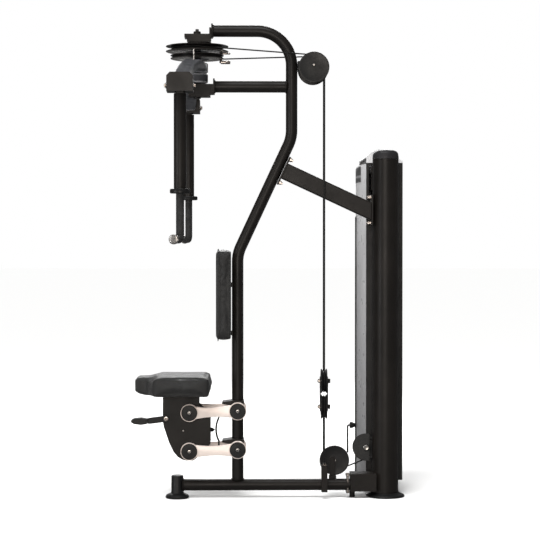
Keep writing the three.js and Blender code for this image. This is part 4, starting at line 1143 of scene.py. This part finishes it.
def pivot_block(name, side):
    """The block at an arm's end, and the washers and bolt heads of the handle's pivot."""
    refined(f"{name}_block", f"{name}_arm", "frame_paint", PAINT, 3, 4)
    x, y, z = HANDLE[0], side * HANDLE[1], HANDLE[2]
    for tag, sign in (("a", 1), ("b", -1)):
        tip = x + sign * 54
        washer = [[0, 0], [12, 0], [12, sign * 2], [11, sign * 2.6], [0, sign * 2.6]]
        ring = turned(f"{name}_washer_{tag}", washer, [tip, y, z], "x", ZINC, 40)
        dress(ring, f"{name}_arm", "bright_link")
        head = [tip + sign * 2.4, y, z]
        cap = bolt(f"{name}_pivot_{tag}", head, "x", 7.6, 7.5, WARM_STEEL, sign < 0)
        dress(cap, f"{name}_arm", "bright_link")


def handle(name, side):
    """The hanging handle: lug, tube, flanged collar, ribbed grip turning outwards and end cap."""
    x, y, z = HANDLE[0], side * HANDLE[1], HANDLE[2]
    body = f"{name}_handle"
    turn = np.linspace(0, np.pi, 25)
    lug = np.r_[np.c_[y + 20 * np.cos(turn), z + 20 * np.sin(turn)], [[y - 20, 1728], [y + 20, 1728]]]
    piece = plate(f"{name}_lug", lug, x - 15, x + 15, "yz", PAINT, 2, 3)
    dress(piece, body, "frame_paint", body)
    profile = [[0, 1716], [22.4, 1716], [22.4, 1330], [TUBE_R, 1330], [TUBE_R, 1727], [24, 1730], [0, 1730]]
    dress(turned(f"{name}_handle_tube", profile, [x, y, 0], "z", PAINT, 56), body, "frame_paint")
    collar = [[22, 1325.4], [38, 1325.4], [41.4, 1328], [41.4, 1340], [39, 1343.5], [33, 1344], [26, 1344],
              [25.6, 1340], [22, 1340]]
    dress(turned_ring(f"{name}_collar", collar, [x, y, 0], "z", PLASTIC), body, "black_plastic")
    lean = 0.26
    out = np.array([-np.sin(lean), side * np.cos(lean), 0])
    low = np.array([x, y, 1139])
    route = rounded_route([[x, y, 1324.7, 0], [x, y, 1139, 22], [*(low + 80 * out), 0]], 4)
    fine = np.vstack([straight(route[0], route[1], 160)[:-1], route[1:]])
    travel = np.r_[0, np.cumsum(np.linalg.norm(np.diff(fine, axis=0), axis=1))]
    ribs = 16.6 + 0.4 * np.cos(travel * 2 * np.pi / 4.5)
    ribs = np.where(travel < 178, ribs, 16.6)
    dress(tube(f"{name}_grip_sleeve", fine, ribs, GRIP, 40), body, "black_plastic", f"{name}_grip")
    tip = low + 79 * out
    stations = np.array([[0, 16], [0.5, 19.4], [2, 20], [12, 20], [14, 18.6], [14.8, 15], [15, 6]])
    path = tip + stations[:, :1] * out
    dress(tube(f"{name}_grip_cap", path, stations[:, 1], ZINC, 40), body, "bright_link")


def cam(name, radius, low, high, cable_z, stop_z, stop_r):
    """A double flanged cam with a cable groove, a bright lower face, and the swaged stop of its cable."""
    mid = cable_z
    section = [[17.2, low], [radius - 2, low], [radius, low + 1.2], [radius, low + 3], [112, mid - 3.6],
               [104, mid - 3.2], [103.4, mid], [104, mid + 3.2], [112, mid + 3.6], [radius, high - 3],
               [radius, high - 1.2], [radius - 2, high], [17.2, high]]
    axis_foot = [AXIS_X, 0, 0]
    disc = turned_ring(f"{name}_disc", section, axis_foot, "z", PAINT, 120, 30)
    dress(disc, name, "frame_paint", name)
    rim = [[52, low - 0.7], [radius - 4, low - 0.7], [radius - 3, low + 0.6], [52, low + 0.6]]
    band = closed_loft(f"{name}_rim_line", spun([*rim, rim[0]], axis_foot, "z", 120), ZINC)
    dress(band, name, "bright_link")
    ring = np.linspace(0, 2 * np.pi, 97)
    groove = np.c_[AXIS_X + CAM_CABLE_R * np.cos(ring), CAM_CABLE_R * np.sin(ring), np.full(97, mid)][:-1]
    dress(looped_cable(f"{name}_cable_ring", groove), name, "cable_jacket")
    lug = block(f"{name}_lug", -90, -78, -6, 6, stop_z - 3, low + 2, PAINT, 1.5)
    dress(lug, name, "frame_paint")
    stops = np.array([[-84, 0.7], [-83, 0.95], [-70, 1], [-69.4, 0.8], [-68, 0.8], [-67.4, 1],
                      [-45, 1], [-43, 0.75], [-42, 0.5]])
    path = np.c_[stops[:, 0], np.zeros(len(stops)), np.full(len(stops), stop_z)]
    dress(tube(f"{name}_stop", path, stops[:, 1] * stop_r, WARM_STEEL, 32), name, "bright_link")


def looped_cable(name, path, radius=2.8, sides=12):
    """A round cable closed on itself in a level circle about the arms' axis."""
    centre = path.mean(0)
    spoke = (path - centre) / np.linalg.norm(path - centre, axis=1)[:, None]
    angle = np.linspace(0, 2 * np.pi, sides, endpoint=False)[None, :, None]
    rings = path[:, None] + radius * (np.cos(angle) * spoke[:, None] + np.sin(angle) * np.array([0, 0, 1.0]))
    rings = np.concatenate([rings, rings[:1]]) / 1000 - SHIFT
    return closed_loft(name, rings, JACKET)


def bearings():
    """The two bearing brackets, the shaft between them and the bolt on its top."""
    refined("upper_bearing", "frame", "frame_paint", PAINT, 1.5)
    refined("lower_bearing", "frame", "frame_paint", PAINT, 3, 3)
    shaft = tube("arm_shaft", [[AXIS_X, 0, 1757], [AXIS_X, 0, 1758], [AXIS_X, 0, 2048], [AXIS_X, 0, 2050]],
                 [14, 16.4, 16.4, 14], PAINT, 48)
    dress(shaft, "frame", "frame_paint")
    dress(bolt("shaft_bolt", [AXIS_X, 0, 2050], "z", 7.5, 12, IRON), "frame", "weight_steel")


bearings()
cam("near_cam", 137, 1962, 1988, 1977, 1955, 4)
cam("far_cam", 117, 1931, 1948, 1939.5, 1917, 8)
for side_name, side_sign, hub in (("near", -1, (1870, 1912)), ("far", 1, (1826, 1866))):
    arm_casting(f"{side_name}_arm", side_sign, *hub)
    pivot_block(side_name, side_sign)
    handle(side_name, side_sign)
lock_pin("near_arm", -127, 1900, 1961)
lock_pin("far_arm", 100, 1854, 1930)

# ---- seat links, carriage, lever and lock bar -------------------------------

LINK_IN = 66


def boss(name, body, x, z, side):
    """One end of a link: a polished ring, a black cap with a groove, and a screw with a dark hexagon of
    painted shade in its socket.
    """
    shape = [[12.2, 0], [36.5, 0], [38, 1.5], [38, 22.6], [37.6, 23.4], [36.3, 23.4], [35.8, 22.6],
             [35.6, 20.2], [12.2, 20.2]]
    cover = [[8.4, 20.0], [34.8, 20.0], [34.9, 23.4], [33.8, 25.0], [20, 25.4], [19.4, 24.6],
             [18, 24.6], [17.4, 25.4], [9.6, 25.6], [8.4, 24.8]]
    centre = [x, side * LINK_IN, z]
    section = [[r, side * h] for r, h in shape]
    ring = turned_ring(f"{name}_boss", section, centre, "y", LINK_METAL, 72, 30)
    dress(ring, body, "bright_link")
    section = [[r, side * h] for r, h in cover]
    dress(turned_ring(f"{name}_cap", section, centre, "y", PLASTIC, 64), body, "black_plastic")
    seat = [x, side * (LINK_IN + 22), z]
    dress(screw(f"{name}_screw", seat, "y", 8.6, ZINC, side < 0), body, "bright_link")
    # painted shade: a dark hexagon in the screw's recess
    dress(socket(f"{name}_socket", seat, "y", 8.6, side < 0), body, "black_plastic")


def link(name, pivot_z):
    """A pair of waisted bars: each edge is drawn in by half a sine wave between the two bosses."""
    seat_x, frame_x = LINK_X
    along = np.linspace(0, 1, 41)
    x = seat_x + (frame_x - seat_x) * along
    middle = pivot_z - LINK_DROP * (1 - along)
    half = 34 - 13 * np.sin(np.pi * along) ** 0.8
    outline = np.r_[np.c_[x, middle + half], np.c_[x, middle - half][::-1]]
    for tag, side in (("near", -1), ("far", 1)):
        y0, y1 = sorted((side * (LINK_IN + 2.5), side * (LINK_IN + 19)))
        bar_piece = plate(f"{name}_{tag}_bar", outline, y0, y1, "xz", LINK_METAL, 4, 4)
        bore_low = turned("bore_a", [[0, -40], [13, -40], [13, 40], [0, 40]],
                          [frame_x, side * 77, pivot_z], "y", LINK_METAL, 40)
        apply_modifiers(bar_piece)
        cut_from(bar_piece, bore_low)
        sharp_by_angle(bar_piece, 45)
        dress(bar_piece, name, "bright_link", *([name] if tag == "near" else []))
        boss(f"{name}_{tag}_frame", name, frame_x, pivot_z, side)
        boss(f"{name}_{tag}_seat", name, seat_x, pivot_z - LINK_DROP, side)
        inner, outer = sorted((side * 50, side * (LINK_IN + 20)))
        seat_z = pivot_z - LINK_DROP
        ends = [[seat_x, inner, seat_z], [seat_x, outer, seat_z]]
        pin = tube(f"{name}_{tag}_pin", ends, 10.3, ZINC, 32)
        dress(pin, name, "bright_link")
    lock_x, lock_z = frame_x - 84.5, pivot_z - LINK_DROP * 84.5 / 211
    rod = tube(f"{name}_lock_rod", [[lock_x, -68, lock_z], [lock_x, 68, lock_z]], 5.8, ZINC, 24)
    dress(rod, name, "bright_link")


def seat_hardware():
    """The link brackets, the seat's side plates, its lock bar, its lever and the sprung plunger."""
    refined("upper_link_bracket", "frame", "frame_paint", PAINT, 1.5)
    refined("lower_link_bracket", "frame", "frame_paint", PAINT, 1.5)
    refined("seat_carriage", "seat_carriage", "frame_paint", PAINT, 1.2)
    refined("lock_bar", "lock_bar", "frame_paint", PAINT, 1.0)
    refined("seat_lever", "seat_lever", "black_plastic", PLASTIC, 3, 4)
    pivot = [-323.5, -82, 357]
    dress(screw("lever_screw", pivot, "y", 11, WARM_STEEL, True), "seat_lever", "bright_link")
    # painted shade: a dark hexagon in the lever screw's recess
    dress(socket("lever_socket", pivot, "y", 11, True), "seat_lever", "black_plastic")
    rivet = screw("carriage_rivet", [-249, -62.5, 303], "y", 4.2, ZINC, True)
    dress(rivet, "seat_carriage", "bright_link")
    z = LINK_Z[1] + 80
    rings = np.array([[-170, 5.9], [-134, 5.9], [-132, 8], [-129, 9.4], [-125, 9.8], [-121, 9.4], [-118.6, 8],
                      [-117.4, 5.8], [-111.6, 2.1]])
    path = np.c_[rings[:, 0], np.zeros(len(rings)), np.full(len(rings), z)]
    dress(tube("plunger", path, rings[:, 1], PLASTIC, 32), "lock_plunger", "black_plastic", "lock_plunger")


link("upper_link", LINK_Z[0])
link("lower_link", LINK_Z[1])
seat_hardware()

# ---- cushions ---------------------------------------------------------------


STUFFING_FRAMES = 20


def vectors_of(mesh, key):
    """One vector for each vertex of a mesh: "co" gives places and "normal" gives normals."""
    values = np.empty(len(mesh.vertices) * 3, np.float32)
    mesh.vertices.foreach_get(key, values)
    return values.reshape(-1, 3)


def points_of(piece):
    """A piece's vertices as an array."""
    return vectors_of(piece.data, "co").astype(float)


def put_points(piece, points):
    """Moves a piece's vertices to the rows of an array."""
    piece.data.vertices.foreach_set("co", np.asarray(points, np.float32).ravel())
    piece.data.update()


def fine_skin(name, node, voxel, rounding):
    """A CAD cushion's merged copy, remeshed in small even squares with its corners worn round."""
    piece = merged_copy(name, node, VINYL)
    remesh = piece.modifiers.new("fine skin", "REMESH")
    remesh.mode = "VOXEL"
    remesh.voxel_size = voxel
    soften = piece.modifiers.new("round corners", "SMOOTH")
    soften.factor = 0.5
    soften.iterations = rounding
    apply_modifiers(piece)
    return piece


def blow_up(piece, pressure, cap):
    """Stuffs a closed skin: cloth under pressure, each point's travel capped, then the travel is kept."""
    start = points_of(piece)
    cloth = piece.modifiers.new("stuffing", "CLOTH")
    settings = cloth.settings
    settings.quality = 4
    settings.mass = 0.3
    settings.tension_stiffness = 25
    settings.compression_stiffness = 25
    settings.bending_stiffness = 2
    settings.use_pressure = True
    settings.uniform_pressure_force = pressure
    settings.effector_weights.gravity = 0
    scene = bpy.context.scene
    for number in range(1, STUFFING_FRAMES + 1):
        scene.frame_set(number)
    graph = bpy.context.evaluated_depsgraph_get()
    blown = bpy.data.meshes.new_from_object(piece.evaluated_get(graph))
    travel = vectors_of(blown, "co").astype(float) - start
    piece.modifiers.clear()
    bpy.data.meshes.remove(blown)
    scene.frame_set(1)
    length = np.linalg.norm(travel, axis=1)[:, None]
    put_points(piece, start + travel * np.minimum(1, cap / np.maximum(length, 1e-9)))


def step_between(values, low, high):
    """0 below low, 1 above high, and 3t squared less 2t cubed between them."""
    t = np.clip((values - low) / (high - low), 0, 1)
    return t * t * (3 - 2 * t)


def finish_cushion(piece, body, node):
    """Shades, subdivides and ties a cushion, and hides the CAD node it stands for."""
    piece.data.polygons.foreach_set("use_smooth", np.ones(len(piece.data.polygons), bool))
    divide = piece.modifiers.new("soft skin", "SUBSURF")
    divide.levels = 1
    divide.render_levels = 1
    dress(piece, body, "vinyl", node)


def seat_scoop(points):
    """Lowers the top in front: thigh scoops beside the nose, the nose a step down, a crown behind.

    The drop grows from nothing at 352 mm forward of the upright to its full depth at 410 mm.
    """
    millimetres = (points + SHIFT) * 1000
    x, y, z = millimetres.T
    forward = step_between(-x, 352, 410)
    beside = step_between(np.abs(y), 62, 118)
    drop = forward * (9 + 16 * beside)
    crown = 3 * (1 - forward) * step_between(np.abs(y), 60, 190)
    top = step_between(z, 470, 536)
    millimetres[:, 2] = z - top * (drop + crown)
    return millimetres / 1000 - SHIFT


def seat_cushion():
    """The seat, scooped in front and stuffed, and kept flat below."""
    piece = fine_skin("seat_pad", "seat_cushion", 0.0048, 5)
    put_points(piece, seat_scoop(points_of(piece)) - 0.002 * vectors_of(piece.data, "normal"))
    blow_up(piece, 4.0, 0.0075)
    points = points_of(piece)
    points[:, 2] = np.maximum(points[:, 2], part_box("seat_cushion")[0].z)
    put_points(piece, points)
    finish_cushion(piece, "seat_carriage", "seat_cushion")


def back_pad():
    """The back pad, drawn in a little and then stuffed, and kept flat behind."""
    piece = fine_skin("back_cushion", "back_pad", 0.0048, 4)
    put_points(piece, points_of(piece) - 0.003 * vectors_of(piece.data, "normal"))
    blow_up(piece, 4.0, 0.006)
    points = points_of(piece)
    low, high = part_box("back_pad")
    points[:, 0] = np.clip(points[:, 0], low.x - 0.004, high.x)
    put_points(piece, points)
    finish_cushion(piece, "frame", "back_pad")


def rounded_outline(half_wide, low, high, radius, steps=10):
    """An upright rounded rectangle as [across, height] points, one quarter arc at each corner."""
    corners = [(half_wide - radius, high - radius, 0), (-half_wide + radius, high - radius, 90),
               (-half_wide + radius, low + radius, 180), (half_wide - radius, low + radius, 270)]
    sweep = np.linspace(0, 90, steps)
    return np.vstack([np.c_[x + radius * np.cos(np.radians(start + sweep)),
                            z + radius * np.sin(np.radians(start + sweep))] for x, z, start in corners])


def back_pad_seam():
    """The sewn seam round the pad where its face meets its boxed side."""
    outline = rounded_outline(139.6, 698.6, 1095.4, 34)
    path = np.c_[np.full(len(outline), -96.0), outline]
    path = np.vstack([path, path[:1]])
    centre = path[:-1].mean(0)
    step = np.roll(path[:-1], -1, axis=0) - np.roll(path[:-1], 1, axis=0)
    step /= np.linalg.norm(step, axis=1)[:, None]
    out = np.cross(step, [1.0, 0, 0])
    out *= np.sign(((path[:-1] - centre) * out).sum(1))[:, None]
    angle = np.linspace(0, 2 * np.pi, 10, endpoint=False)[None, :, None]
    rings = path[:-1, None] + 1.7 * (np.cos(angle) * out[:, None] + np.sin(angle) * np.array([1.0, 0, 0]))
    rings = np.concatenate([rings, rings[:1]]) / 1000 - SHIFT
    dress(closed_loft("back_pad_seam", rings, THREAD), "frame", "vinyl")


seat_cushion()
back_pad()
back_pad_seam()
